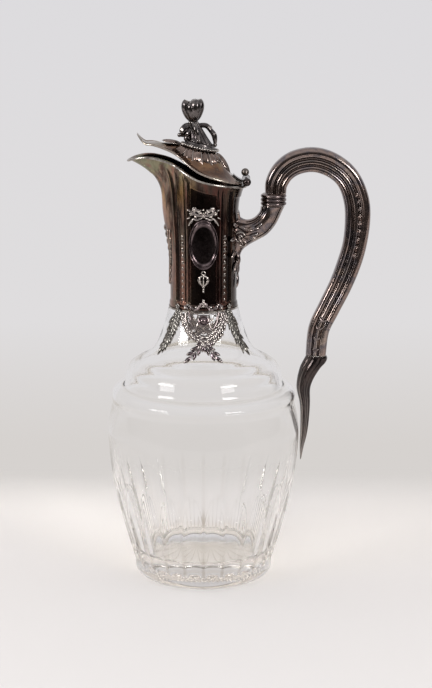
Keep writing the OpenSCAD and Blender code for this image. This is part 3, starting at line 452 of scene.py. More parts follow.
# Cement between the glass neck and the mount
# Fine plaster that was poured in when the mount was fitted. It is seen only through the neck.
def plaster():
    """Set plaster: matt, faintly mottled, off white."""
    material, tree = blank("set_plaster")
    grain = add(tree, "ShaderNodeTexNoise", {"Vector": add(tree, "ShaderNodeTexCoord").outputs["Object"],
                                             "Scale": 1 / (1.5 * MM), "Detail": 3.0})
    tone = add(tree, "ShaderNodeValToRGB", [grain.outputs[0]])
    fill_ramp(tone, [(0.3, "#8F877B"), (0.7, "#B5AD9F")])
    add(tree, "ShaderNodeOutputMaterial", [add(tree, "ShaderNodeBsdfPrincipled",
                                               {"Base Color": tone.outputs[0], "Roughness": 0.9,
                                                "Normal": add(tree, "ShaderNodeBump",
                                                              {"Strength": 0.4, "Distance": 0.1 * MM,
                                                               "Height": grain.outputs[0]})})])
    return material


def coat(node, material):
    """Gives a node that stays its material."""
    frame["nodes"][node].data.materials.clear()
    frame["nodes"][node].data.materials.append(material)


coat("neck_cement", plaster())

# Neck mount
# Raised from silver sheet: a sleeve with four sunk panels between four reeded pilasters, drawn out into a
# flared mouth with a pulled spout. Old tarnish fills every hollow and clouds the open faces. Warm pink,
# amber and grey-green patches lie high on the spout side, and painted shade darkens the mount from the spout
# side towards the handle side.
mount_h, rim_fall = 75.2, 0.17
spout_rise, spout_droop, spout_reach, spout_w = 8.4, 5, 43.2, 12
mouth_r, mouth_off = 22.2, 2
wire_r, seat = 0.6, 0.15
panel_depth = 0.9
panel_low, panel_high = 0.045, 0.9
spout_lean, lean_start, pilaster_edge, lean_end = 12, 0.35, 42, 68
soot_black, polish_white = "#120E0D", "#D8D0C8"
# The ramp of painted shade spans this distance each side of the axis; the warm patches lie high on the spout
# side.
side_shade_reach, blush_z, blush_tall, blush_rise, blush_patch = 44, 200, 45, 25, 7
blush_start, blush_full = -3, -12
blush_tones = [(0, "#A58078"), (0.45, "#C09A86"), (0.7, "#C49A62"), (1, "#8E8E74")]
speck_size, speck_dark, fine_grain = 2.4, "#3A3231", 0.25


def silver(name, tones, patch=9.0, roughness=0.3, soot=0.92, polish=0.55, side_shade=None, stretch=1.0):
    """Tarnished silver: sulphide tones in cloudy patches, black in hollows, rubbed bright on the edges.
    Given a side ramp, it also gets painted shade across it along X and warm patches high on one side.
    """
    material, tree = blank(name)
    spot = add(tree, "ShaderNodeTexCoord").outputs["Object"]
    drawn = add(tree, "ShaderNodeMapping", {"Vector": spot, "Scale": (1, 1, stretch)})
    cloud = add(tree, "ShaderNodeTexNoise", {"Vector": drawn, "Scale": 1 / (patch * MM), "Detail": 5.0,
                                             "Roughness": 0.6, "Distortion": 0.4})
    tone = add(tree, "ShaderNodeValToRGB", [cloud.outputs[0]])
    fill_ramp(tone, [(0.3 + 0.42 * i / (len(tones) - 1), code) for i, code in enumerate(tones)])
    # Painted shade: a ramp along X multiplies the colour darker from the spout side towards the handle side.
    if side_shade:
        along = add(tree, "ShaderNodeSeparateXYZ", [spot])
        place = add(tree, "ShaderNodeMapRange", [along.outputs[0], -side_shade_reach * MM, side_shade_reach * MM])
        painted_side_shade = add(tree, "ShaderNodeValToRGB", [place])
        fill_ramp(painted_side_shade, side_shade)
        tone = add(tree, "ShaderNodeMix", {0: 1.0, 6: tone.outputs[0], 7: painted_side_shade.outputs[0]}, data_type="RGBA",
                   blend_type="MULTIPLY")
        warm = add(tree, "ShaderNodeTexNoise", {"Vector": drawn, "Scale": 1 / (blush_patch * MM),
                                                "Detail": 2.0})
        hue = add(tree, "ShaderNodeValToRGB", [add(tree, "ShaderNodeMapRange",
                                                   [along.outputs[2], blush_z * MM,
                                                    (blush_z + blush_tall) * MM])])
        fill_ramp(hue, blush_tones)
        spread = add(tree, "ShaderNodeMapRange", [warm.outputs[0], 0.46, 0.6, 0.0, 0.75],
                     interpolation_type="SMOOTHSTEP")
        high = add(tree, "ShaderNodeMapRange", [along.outputs[2], blush_z * MM, (blush_z + blush_rise) * MM])
        side = add(tree, "ShaderNodeMapRange", [along.outputs[0], blush_start * MM, blush_full * MM])
        spread = add(tree, "MULTIPLY", [spread, high])
        spread = add(tree, "MULTIPLY", [spread, side])
        tone = add(tree, "ShaderNodeMix", {0: spread, 6: tone.outputs[2], 7: hue.outputs[0]},
                   data_type="RGBA")
        tone_out = tone.outputs[2]
    else:
        tone_out = tone.outputs[0]
    speck = add(tree, "ShaderNodeTexNoise", {"Vector": spot, "Scale": 1 / (speck_size * MM), "Detail": 3.0})
    speck_share = add(tree, "ShaderNodeMapRange", [speck.outputs[0], 0.5, 0.75, 0.0, 0.3])
    worn = add(tree, "ShaderNodeMix", {0: speck_share, 6: tone_out, 7: linear(speck_dark)}, data_type="RGBA")
    hollow = add(tree, "ShaderNodeAttribute", attribute_name="hollow")
    deep = add(tree, "ShaderNodeMapRange", [hollow.outputs["Fac"], 0.05, 0.7, 0.0, soot],
               interpolation_type="SMOOTHSTEP")
    dark = add(tree, "ShaderNodeMix", {0: deep, 6: worn.outputs[2], 7: linear(soot_black)}, data_type="RGBA")
    edge = add(tree, "ShaderNodeMapRange", [hollow.outputs["Fac"], -0.1, -0.7, 0.0, polish],
               interpolation_type="SMOOTHSTEP")
    bright = add(tree, "ShaderNodeMix", {0: edge, 6: dark.outputs[2], 7: linear(polish_white)},
                 data_type="RGBA")
    rough = add(tree, "ShaderNodeMapRange", [speck.outputs[0], 0.3, 0.75, roughness - 0.06,
                                             roughness + 0.08])
    rough = add(tree, "ADD", [rough, add(tree, "MULTIPLY", [deep, 0.12])])
    fine = add(tree, "ShaderNodeTexNoise", {"Vector": spot, "Scale": 1 / (fine_grain * MM), "Detail": 2.0})
    bump = add(tree, "ShaderNodeBump", {"Strength": 0.1, "Distance": 0.02 * MM, "Height": fine.outputs[0]})
    add(tree, "ShaderNodeOutputMaterial", [add(tree, "ShaderNodeBsdfPrincipled",
                                               {"Base Color": bright.outputs[2], "Metallic": 1.0,
                                                "Roughness": rough, "Normal": bump})])
    return material


def mark_hollows(piece, reach, passes=4, extra=None):
    """Stores at each point how far it lies in a hollow, 1, or out on an edge, -1, for the tarnish."""
    mesh = piece.data
    points, normals = np.empty(3 * len(mesh.vertices)), np.empty(3 * len(mesh.vertices))
    mesh.vertices.foreach_get("co", points)
    mesh.vertices.foreach_get("normal", normals)
    points, normals = points.reshape(-1, 3) / MM, normals.reshape(-1, 3)
    ends = np.empty(2 * len(mesh.edges), int)
    mesh.edges.foreach_get("vertices", ends)
    a, b = ends.reshape(-1, 2).T
    step = points[b] - points[a]
    square = np.maximum((step**2).sum(1), 0.0025)
    ties = np.maximum(np.bincount(ends, minlength=len(points)), 1)
    bend = np.bincount(a, (step * normals[a]).sum(1) / square, len(points))
    bend -= np.bincount(b, (step * normals[b]).sum(1) / square, len(points))
    bend = np.clip(bend / ties * reach, -1.5, 1.5)
    for _ in range(passes):
        near = np.bincount(a, bend[b], len(points)) + np.bincount(b, bend[a], len(points))
        bend = 0.4 * bend + 0.6 * near / ties
    if extra is not None:
        bend = np.maximum(bend, extra(points))
    mesh.attributes.new("hollow", "FLOAT", "POINT").data.foreach_set("value",
                                                                     np.clip(bend, -1, 1).astype(np.float32))


def ramp(x, low, high):
    """A smooth step from 0 at low to 1 at high."""
    u = np.clip((x - low) / (high - low), 0, 1)
    return u * u * (3 - 2 * u)


def rim_z(x):
    """Height of the rim over a distance from the axis, falling to the hinge and rising to the spout."""
    droop = np.maximum(0, (-x - 28) / (spout_reach - 28))
    rise = spout_rise / (1 + np.exp((x + 11.5) / 4.2))
    return mount_z + mount_h - rim_fall * x + rise - spout_droop * droop**2


def mouth_ray(a, reach=spout_reach, more=0.0):
    """Distance of the mouth's edge from the axis, at an azimuth in radians."""
    bowl = mouth_off * np.cos(a) + np.sqrt((mouth_r + more) ** 2 - (mouth_off * np.sin(a)) ** 2)
    half = reach / 2 + 0.3
    off, w = reach - half, spout_w + more
    qa = (np.cos(a) / half) ** 2 + (np.sin(a) / w) ** 2
    qb = 2 * np.cos(a) * off / half**2
    trough = (-qb + np.sqrt(qb * qb - 4 * qa * ((off / half) ** 2 - 1))) / (2 * qa)
    return (bowl**10 + trough**10) ** 0.1


def flare(t):
    """Share of the way out to the mouth: a slow swell, then the curl of the lip."""
    return 0.2 * ramp(t, 0.3, 0.72) + 0.8 * np.maximum(0, (t - 0.66) / 0.34) ** 3.5


def mount_ray(a, t):
    return lerp(sleeve_r, mouth_ray(a), flare(t))


def mount_top(a):
    return rim_z(mouth_ray(a) * np.cos(a))


def mount_r(a, z):
    return mount_ray(a, np.minimum(1, (z - mount_z) / (mount_top(a) - mount_z)))


def flow(a, t):
    """Azimuth that a line of the wall has at a share of its height: beside the spout it leans to the lip."""
    off = np.degrees(a) % 360 - 180
    near = np.sin(np.pi / 2 * np.minimum(1, np.abs(off) / pilaster_edge))
    share = np.where(np.abs(off) < pilaster_edge, near,
                     ramp(lean_end - np.abs(off), 0, lean_end - pilaster_edge))
    lean = spout_lean * share * np.maximum(0, (t - lean_start) / (1 - lean_start)) ** 1.5
    return a - np.radians(np.sign(off) * lean)


def from_front(a):
    """Degrees from the nearer of the front and the back."""
    return np.abs((np.degrees(a) + 180) % 180 - 90)


def lobe(x, middle, half):
    """A round hump, 1 at its middle and 0 outside its half width."""
    return np.sqrt(np.maximum(0, 1 - ((x - middle) / half) ** 2))


def sunk(a, t):
    """Depth of the mount's face under its outline: panels, reeds, pilasters and coves."""
    b = from_front(a)
    tall = ramp(t, panel_low - 0.012, panel_low) * (1 - ramp(t, panel_high, panel_high + 0.012))
    long = ramp(t, 0.055, 0.06) * (1 - ramp(t, 0.93, 0.985))
    depth = panel_depth * (1 - ramp(b, 20.6, 21.6)) * tall
    depth += 0.45 * lobe(b, 23.6, 1.1) * long
    depth -= 0.25 * lobe(b, 27.4, 2.2) * long
    depth += 0.55 * lobe(b, 31.0, 1.3) * long
    depth += 0.3 * ramp(b, 33.6, 34.4) * (1 - ramp(b, 41.2, 42.0)) * long
    depth += 0.85 * lobe(b, 47.8, 4.8) * long
    depth -= 0.15 * lobe(b, 54.4, 1.4) * long
    depth += 0.45 * ramp(b, 56.2, 57.4) * tall
    return depth - 0.12 * lobe(t, 0.016, 0.012)


def ring_faces(rows, columns, closed=False, capped=False):
    """Quads over rings of points, closed into a loop of rings or capped by a face at each end."""
    i, j = np.meshgrid(np.arange(rows if closed else rows - 1), np.arange(columns), indexing="ij")
    up, on = (i + 1) % rows, (j + 1) % columns
    quads = np.stack([i * columns + j, i * columns + on, up * columns + on, up * columns + j], -1)
    ends = [list(range(columns)), list(range((rows - 1) * columns, rows * columns))] if capped else []
    return [*quads.reshape(-1, 4).tolist(), *ends]


quarter_stations = np.unique(np.concatenate([
    np.linspace(0, 20, 9), np.linspace(20, 34, 43), np.linspace(34, 58, 49),
    np.linspace(58, 90, 23)]).round(3))
around = np.concatenate([quarter_stations - 90, (90 - quarter_stations)[::-1][1:-1],
                         quarter_stations + 90, (270 - quarter_stations)[::-1][1:-1]])
around = np.radians(around)
outer_rows = np.unique(np.concatenate([np.linspace(0, 0.09, 22), np.linspace(0.09, 0.88, 42),
                                       np.linspace(0.88, 1, 26)]))
inner_rows = np.concatenate([np.linspace(1, 0.86, 10), np.linspace(0.8, 0, 9)])


def mount_points():
    """The mount's outer face from its foot to the rim, and back down inside its wall."""
    rows = []
    for t in outer_rows:
        a = flow(around, t)
        r = mount_ray(a, t) - sunk(around, t) - 0.25 * ramp(t, 0.99, 1)
        rows.append(np.column_stack([r * np.cos(a), r * np.sin(a), lerp(mount_z, mount_top(a), t)]))
    for t in inner_rows:
        a = flow(around, t)
        r = mount_ray(a, t) - mount_wall * (0.65 if t > 0.9 else 1)
        z = np.minimum(rim_z(r * np.cos(a)), lerp(mount_z, mount_top(a), t) + mount_wall * flare(t) * 0.9)
        rows.append(np.column_stack([r * np.cos(a), r * np.sin(a), z]))
    return np.concatenate(rows)


def mount_soot(points):
    """Tarnish by depth: black in the sunk panels and coves, and inside the neck."""
    x, y, z = points.T
    a, r = np.arctan2(y, x), np.hypot(x, y)
    t = (z - mount_z) / (mount_top(a) - mount_z)
    b = from_front(a)
    depth = mount_ray(a, np.clip(t, 0, 1)) - r
    front = ramp(depth, 0.5, 0.85) * (b < 22)
    cove = 0.9 * ramp(depth, 0.3, 0.7) * ((b > 42) & (b < 53))
    lines = 0.9 * ramp(depth, 0.2, 0.42) * ((b > 22) & (b < 33))
    inside = 0.5 * (depth > 0.95)
    return np.maximum.reduce([front, cove, lines, inside])


# Old tarnish in cloudy patches, with painted shade that darkens the mount towards the handle side.
mount_silver = silver("raised_silver_tarnish_side_shade",
                      ["#443A38", "#7C6E68", "#A6867A", "#8A847A", "#5C4A46", "#AC998A", "#766C66"], 9, 0.17,
                      stretch=0.22, side_shade=[(0, "#F6F0EA"), (0.3, "#DCCEC4"), (0.46, "#9C8C88"),
                                           (0.6, "#7C6868"), (0.75, "#8C887C")])
mount = shell("neck_mount_raised", mount_points(),
              ring_faces(len(outer_rows) + len(inner_rows), len(around), closed=True), mount_silver)
mark_hollows(mount, 1.2, 2, mount_soot)
dress(mount, "root", "mount_silver", "neck_mount")

# Foot ring and mouth wire
# A drawn wire soldered round the rim stiffens it, and a flat ring closes the foot of the mount.
# Both are rubbed a little brighter than the sheet, because hands and cloths reach them first.
wire_silver = silver("drawn_silver_rubbed", ["#6E6661", "#A39C95", "#C4BEB6", "#8A8079"], 6, 0.2, soot=0.6)
coat("mount_foot_ring", wire_silver)


def unit(v):
    return v / np.maximum(np.linalg.norm(v, axis=-1, keepdims=True), 1e-9)


def tube(path, radii, outward, sides=10, closed=False, flat=1.0):
    """Points and faces of a round or flattened wire along a path, with a direction that points outwards."""
    path = np.asarray(path, float)
    radii = np.broadcast_to(np.asarray(radii, float), len(path))
    outward = np.broadcast_to(np.asarray(outward, float), path.shape)
    if closed:
        along = unit(np.roll(path, -1, 0) - np.roll(path, 1, 0))
    else:
        along = unit(np.gradient(path, axis=0))
    up = unit(outward - (outward * along).sum(1, keepdims=True) * along)
    side = np.cross(along, up)
    k = 2 * np.pi * np.arange(sides) / sides
    rings = path[:, None] + radii[:, None, None] * (flat * np.cos(k)[None, :, None] * up[:, None]
                                                    + np.sin(k)[None, :, None] * side[:, None])
    return rings.reshape(-1, 3), ring_faces(len(path), sides, closed, capped=not closed)


def together(parts):
    """Joins several sets of points and faces into one."""
    points, faces, start = [], [], 0
    for p, f in parts:
        points.append(p)
        faces += [[i + start for i in face] for face in f]
        start += len(p)
    return np.concatenate(points), faces


rim_a = np.radians(np.linspace(0, 360, 361)[:-1])
rim_r = mouth_ray(rim_a) + wire_r + seat
rim_path = np.column_stack([rim_r * np.cos(rim_a), rim_r * np.sin(rim_a), mount_top(rim_a) - wire_r])
wire = shell("mouth_wire_drawn", *tube(rim_path, wire_r, (0, 0, 1), 12, closed=True), wire_silver)
mark_hollows(wire, 0.1)
dress(wire, "root", "mount_silver", "mouth_wire")

# Cartouches
# An oval frame of two drawn wires round a plain field, soldered to the front and the back panel.
# The frame's crests are rubbed bright; the field is as dark as the panel round it.
oval_h, oval_w, oval_z = 14.4, 8.2, mount_z + 38.9
ornament_silver = silver("cast_silver_dark", ["#352D2E", "#584C4D", "#7C6E6F", "#463B3C", "#948A8B"], 7,
                         0.15, soot=0.95, polish=1.0)


def mount_point(a, z, out):
    """A place on the mount, at an azimuth in degrees and a height, some way out from its face."""
    a, z = np.broadcast_arrays(np.radians(np.asarray(a, float)), np.asarray(z, float))
    r = mount_r(a, z) + out
    return np.stack([r * np.cos(a), r * np.sin(a), z], -1)


def glass_point(a, z, out):
    """A place on the glass dome, at an azimuth in degrees and a height, some way out from its face."""
    a, z = np.broadcast_arrays(np.radians(np.asarray(a, float)), np.asarray(z, float))
    lean = np.arctan((glass_r(z + 1) - glass_r(z - 1)) / 2)
    r = glass_r(z) + out * np.cos(lean)
    return np.stack([r * np.cos(a), r * np.sin(a), z - out * np.sin(lean)], -1)


def cartouche(name, a, node):
    shares = np.array([1.02, 1.01, 0.985, 0.96, 0.94, 0.92, 0.9, 0.88, 0.86, 0.845, 0.83, 0.7, 0.45, 0.2,
                       0.02])
    heights = np.array([0, 0.7, 1.15, 0.9, 0.4, 0.3, 0.4, 0.85, 0.95, 0.7, 0.3, 0.4, 0.52, 0.58, 0.6])
    w = np.radians(np.linspace(0, 360, 121)[:-1])
    rows = []
    for share, height in [(0.02, 0.0), *zip(shares, heights)]:
        across, up = share * oval_w * np.cos(w), share * oval_h * np.sin(w)
        rows.append(mount_point(a + np.degrees(across / sleeve_r), oval_z + up, height + seat))
    faces = ring_faces(len(rows), len(w), capped=True)
    piece = shell(name, np.concatenate(rows), faces, ornament_silver)
    mark_hollows(piece, 0.7, 2, lambda p: 0.62 * (np.abs(p[:, 2] - oval_z) < 0.8 * oval_h) * (
        (np.hypot(p[:, 0] / (0.8 * oval_w), (p[:, 2] - oval_z) / (0.8 * oval_h)) < 1)))
    dress(piece, "root", "ornament_silver", node)


cartouche("front_cartouche_oval", -90, "front_cartouche")
cartouche("back_cartouche_oval", 90, "back_cartouche")

# Bows over the cartouches
# A ribbon tied in two loops with fluttering ends, set about with small flowers and leaves. It was cast in
# one piece and chased, so leaves, petals and berries are struck many times from the same few punches.
bow_z = oval_z + oval_h + 1.6


def leaf_tree():
    """Sets a cast leaf on every point: it grows along one direction and shows its ribbed face in another."""
    tree, given, result = node_tree("cast_leaves", {
        "Across": ("NodeSocketInt", 7), "Along": ("NodeSocketInt", 8), "Rib": ("NodeSocketFloat", 0.35),
        "Curl": ("NodeSocketFloat", 0.1), "Roundness": ("NodeSocketFloat", 0.7),
        "Material": ("NodeSocketMaterial", None)})
    grid = add(tree, "GeometryNodeMeshGrid", [2.0, 1.0, given.outputs["Across"], given.outputs["Along"]])
    place = add(tree, "ShaderNodeSeparateXYZ", [add(tree, "GeometryNodeInputPosition")])
    u, v = (place.outputs[0], add(tree, "ADD", [place.outputs[1], 0.5]))
    tip = add(tree, "POWER", [add(tree, "MAXIMUM", [add(tree, "SUBTRACT", [1, v]), 0]),
                              given.outputs["Roundness"]])
    width = add(tree, "MULTIPLY", [add(tree, "MULTIPLY",
                                       [add(tree, "POWER", [add(tree, "MAXIMUM", [v, 0]), 0.6]), tip]),
                                       2.45])
    inside = add(tree, "SUBTRACT", [1, add(tree, "MULTIPLY", [u, u])])
    rib = add(tree, "MULTIPLY", [add(tree, "POWER",
                                     [add(tree, "SUBTRACT", [1, add(tree, "ABSOLUTE", [u])]), 5]),
                                     given.outputs["Rib"]])
    crown = add(tree, "MULTIPLY", [add(tree, "ADD", [add(tree, "MULTIPLY", [inside, 0.7]), rib]), width])
    curl = add(tree, "MULTIPLY", [add(tree, "MULTIPLY", [v, v]), given.outputs["Curl"]])
    across = add(tree, "MULTIPLY", [add(tree, "MULTIPLY", [u, width]), 0.5])
    front = add(tree, "ShaderNodeCombineXYZ", [across, v, add(tree, "ADD", [crown, curl])])
    back = add(tree, "ShaderNodeCombineXYZ", [across, v, curl])
    front = add(tree, "GeometryNodeSetPosition", {0: grid, 2: front})
    back = add(tree, "GeometryNodeSetPosition", {0: add(tree, "GeometryNodeFlipFaces", [grid]), 2: back})
    leaf = add(tree, "GeometryNodeJoinGeometry")
    tree.links.new(front.outputs[0], leaf.inputs[0])
    tree.links.new(back.outputs[0], leaf.inputs[0])
    leaf = add(tree, "GeometryNodeMergeByDistance", {0: leaf, "Distance": 0.0005})
    along = add(tree, "GeometryNodeInputNamedAttribute", ["along"], data_type="FLOAT_VECTOR")
    out = add(tree, "GeometryNodeInputNamedAttribute", ["out"], data_type="FLOAT_VECTOR")
    size = add(tree, "GeometryNodeInputNamedAttribute", ["size"], data_type="FLOAT_VECTOR")
    facing = add(tree, "FunctionNodeAxesToRotation", [out, along], primary_axis="Z", secondary_axis="Y")
    set_out = add(tree, "GeometryNodeInstanceOnPoints", {0: given.outputs[0], "Instance": leaf,
                                                         "Rotation": facing, "Scale": size})
    return end_tree(tree, set_out, given, result)


def bead_tree():
    """Sets a bead on every point, with the radius that the point carries."""
    tree, given, result = node_tree("cast_beads", {"Detail": ("NodeSocketInt", 2),
                                                   "Material": ("NodeSocketMaterial", None)})
    ball = add(tree, "GeometryNodeMeshIcoSphere", [1.0, given.outputs["Detail"]])
    size = add(tree, "GeometryNodeInputNamedAttribute", ["size"], data_type="FLOAT_VECTOR")
    set_out = add(tree, "GeometryNodeInstanceOnPoints",
                  {0: given.outputs[0], "Instance": ball, "Scale": size})
    return end_tree(tree, set_out, given, result)


leaves_on_points, beads_on_points = leaf_tree(), bead_tree()


def leaf_at(surface, a, z, lean, length, width, thick, out=0.2):
    """A leaf's place on a surface: its lean is in degrees from straight up, clockwise seen from outside."""
    foot = surface(a, z, out + seat)
    side = unit(surface(a + 0.5, z, 0) - surface(a - 0.5, z, 0))
    up = unit(surface(a, z + 0.2, 0) - surface(a, z - 0.2, 0))
    along = math.cos(math.radians(lean)) * up + math.sin(math.radians(lean)) * side
    return foot, along, np.cross(side, up), (width, length, thick)


def flower_at(surface, a, z, radius, petals=5, first=0.0):
    """The places of a flower's petals round a place on a surface."""
    return [leaf_at(surface, a, z, first + k * 360 / petals, radius, radius * 0.85, 0.7,
                    0.35) for k in range(petals)]


def ornament(name, material, leaves=(), beads=(), parts=(), reach=0.7, **shape):
    """One cast piece made of leaves, beads (place, radius) and parts (points and faces)."""
    made = []
    if parts:
        made.append(shell(name, *together(parts), material))
    if leaves:
        foot, along, out, size = (np.array(column, float) for column in zip(*leaves))
        made.append(grow(name + "_leaves", leaves_on_points, foot,
                         {"along": along, "out": out, "size": size * MM}, {"Material": material, **shape}))
    if beads:
        places, radii = np.array([b[0] for b in beads]), np.array([b[1] for b in beads])
        made.append(grow(name + "_beads", beads_on_points, places,
                         {"size": np.repeat(radii[:, None] * MM, 3, 1)}, {"Material": material}))
    piece = made[0]
    if len(made) > 1:
        whole = bmesh.new()
        for part in made:
            whole.from_mesh(part.data)
        whole.to_mesh(piece.data)
        whole.free()
        for part in made[1:]:
            bpy.data.objects.remove(part)
    piece.name = name
    mark_hollows(piece, reach, 1)
    return piece


def bow(name, a, node):
    parts, leaves, beads = [], [], []
    turns = np.radians(np.linspace(0, 360, 37)[:-1])

    def tied(across, up, out):
        return mount_point(a + np.degrees(across / sleeve_r), bow_z + up, out)

    for s in (-1, 1):
        for big, width in ((1.0, 0.55), (0.6, 0.4)):
            across = 3.6 + 2.6 * big * np.cos(turns)
            loop = tied(s * across, 1.6 + 0.3 * across + 1.7 * big * np.sin(turns), 0.75)
            parts.append(tube(loop, width, loop * (1, 1, 0), 8, closed=True))
        tail = curve([(1.2, -0.4), (3.6, -1.5), (5.6, -1.0), (7.4, -2.6), (8.4, -5)], 6)
        ribbon = tied(s * tail[:, 0], tail[:, 1], 0.55)
        parts.append(tube(ribbon, np.linspace(0.65, 0.3, len(tail)), ribbon * (1, 1, 0), 8, flat=0.7))
        for across, up, radius in ((2.3, 3.4, 1.6), (5.0, 4.4, 1.8), (6.7, 2.0, 1.5), (4.2, 0.5, 1.3)):
            spot = a + s * math.degrees(across / sleeve_r)
            leaves += flower_at(mount_point, spot, bow_z + up, radius, 5, 20 * across)
            beads.append((tied(s * across, up, 1.1), 0.45))
        for across, up, lean in ((7.2, 3.4, 70), (7.4, -0.2, 110), (6.0, -1.6, 150)):
            leaves.append(leaf_at(mount_point, a + s * math.degrees(across / sleeve_r), bow_z + up, s * lean,
                                  2.7, 1.5, 0.8))
    leaves += flower_at(mount_point, a, bow_z + 1.2, 1.9, 7, 0)
    beads += [(tied(0, 1.2, 1.2), 0.7), (tied(0, 4.4, 0.7), 0.6)]
    dress(ornament(name, ornament_silver, leaves, beads, parts), "root", "ornament_silver", node)


bow("front_bow_ribbon", -90, "front_bow")
bow("back_bow_ribbon", 90, "back_bow")

# Pendants under the cartouches
# A bell drop of eight ribs hangs from a ring, with a bead over it, three beads below it, and three more over
# the shield.
def pendant(name, a, node):
    parts, beads = [], []
    top = oval_z - oval_h - 1.2

    def hung(across, z, out):
        return mount_point(a + np.degrees(across / sleeve_r), z, out - panel_depth)

    w = np.radians(np.linspace(0, 360, 19)[:-1])
    parts.append(tube(hung(1.0 * np.cos(w), top - 0.8 + 1.0 * np.sin(w), 1.3), 0.32,
                      hung(0, top, 2) * (1, 1, 0), 6, closed=True))
    s = np.linspace(0, 1, 13)
    bulge = np.sin(np.pi * s**0.8)
    for k in range(8):
        turn = 2 * np.pi * k / 8
        rib = hung((0.35 + 2.6 * bulge) * math.cos(turn), top - 2.2 - 6.4 * s,
                   1.6 + 1.25 * bulge * math.sin(turn))
        parts.append(tube(rib, 0.36, hung(0, top, 2) * (1, 1, 0), 6))
    for z, radius in ((top - 2.0, 0.75), (top - 9.0, 0.85), (top - 10.6, 0.65), (top - 12.0, 0.45),
                      (170.0, 0.8), (168.4, 0.6), (166.9, 0.9)):
        beads.append((hung(0, z, 1.35), radius))
    dress(ornament(name, ornament_silver, (), beads, parts), "root", "ornament_silver", node)


pendant("front_pendant_drop", -90, "front_pendant")
pendant("back_pendant_drop", 90, "back_pendant")

# Shields at the mount's foot
# A round boss in a ring, held between two scrolls and a pointed frame that spring from the pilasters.
shield_z = mount_z - 5.5


def shield(name, a, node):
    parts, leaves, beads = [], [], []
    w = np.radians(np.linspace(0, 360, 37)[:-1])
    rows = [(3.3, 0.0), (3.3, 0.9), (2.9, 1.4), (2.4, 1.2), (2.1, 0.9), (1.9, 1.3), (1.4, 1.9), (0.7, 2.2),
            (0.05, 2.3)]
    boss = [glass_point(a + np.degrees(r * np.cos(w) / glass_r(shield_z)), shield_z + r * np.sin(w),
                        out + seat)
            for r, out in [(0.05, 0.0), *rows]]
    parts.append((np.concatenate(boss), ring_faces(len(boss), len(w))))
    for s in (-1, 1):
        scroll = curve([(25, 1.2), (22, -1.6), (19, -5.4), (12, -9), (8.8, -6.2), (11, -3.4), (14, -4)], 6)
        line = glass_point(a + s * scroll[:, 0], mount_z - 1.6 + scroll[:, 1], 0.95)
        parts.append(tube(line, np.linspace(0.85, 0.45, len(scroll)), line * (1, 1, 0), 8))
        edge = curve([(30, 0.8), (27, -4), (20, -9), (11, -12.6), (0, -14.2)], 6)
        line = glass_point(a + s * edge[:, 0], mount_z - 1.6 + edge[:, 1], 0.6)
        parts.append(tube(line, 0.5, line * (1, 1, 0), 6))
        high = curve([(0, 5.2), (5, 3.4), (10, 1.0), (15, 0.6), (21, 2.2), (27, 3.4), (33, 1.0)], 6)
        line = mount_point(a + s * high[:, 0], mount_z + high[:, 1], 0.3)
        parts.append(tube(line, np.linspace(0.8, 0.6, len(high)), line * (1, 1, 0), 8))
        leaves += [leaf_at(mount_point, a + s * across, mount_z + up, s * lean, 3.6, 2.2, 0.9, 0.3)
                   for across, up, lean in ((3, 1.6, 15), (8, 0.2, 40), (14, -0.2, -20), (20, 0.4, 25),
                                            (26, 0.6, 50))]
        beads += [(mount_point(a + s * 30, mount_z + 1.6, 0.9), 0.8),
                  (glass_point(a + s * 13.5, shield_z + 1, 0.9), 0.7)]
    beads += [(glass_point(a, shield_z - 6.8, 0.9), 0.9), (glass_point(a, shield_z + 4.4, 0.8), 0.7)]
    beads += [(mount_point(a, mount_z + 6.4, 0.4), 0.7), (mount_point(a, mount_z + 4.2, 0.6), 1.0)]
    dress(ornament(name, ornament_silver, leaves, beads, parts), "root", "ornament_silver", node)


shield("front_shield_boss", -90, "front_shield")
shield("back_shield_boss", 90, "back_shield")

# Swags, sprigs and branches
# Laurel cast in strips and laid on the glass: a swag and two crossed sprigs on each face, and a branch at
# each corner of the mount. The leaves lie in pairs along a thin stem, with berries in the swags.
swag_half, swag_drop = 37, 13.6
swag_silver = silver("cast_silver_plum", ["#2A2426", "#4A3F42", "#6E6166", "#383033", "#8E8288"], 4, 0.15,
                     soot=0.97, polish=0.9)
scatter = np.random.default_rng(7)


def swag(name, a, node):
    leaves, beads = [], []
    for u in np.linspace(-1, 1, 33):
        z = mount_z - 1.6 - (swag_drop + 1.6) * (1 - u * u)
        slope = math.degrees(math.atan2(2 * swag_drop * u, swag_half * math.radians(1) * glass_r(z)))
        thick = 1.15 - 0.12 * abs(u)
        for side, lean in ((1.3, 38), (-1.3, -38), (0.2, 0)):
            bend = lean + scatter.uniform(-14, 14)
            heading = (90 - slope if u < 0 else -90 - slope) + bend
            leaves.append(leaf_at(glass_point, a + swag_half * u, z + side * thick * 0.8, heading,
                                  4.0 * thick, 2.1 * thick, 0.95, 0.35 + 0.5 * (side == 0.2)))
        beads.append((glass_point(a + swag_half * u + scatter.uniform(-1, 1),
                                  z + scatter.uniform(-1.6, 1.6) * thick, 1.15), scatter.uniform(0.35, 0.6)))
    dress(ornament(name, swag_silver, leaves, beads, reach=1.1), "root", "ornament_silver", node)


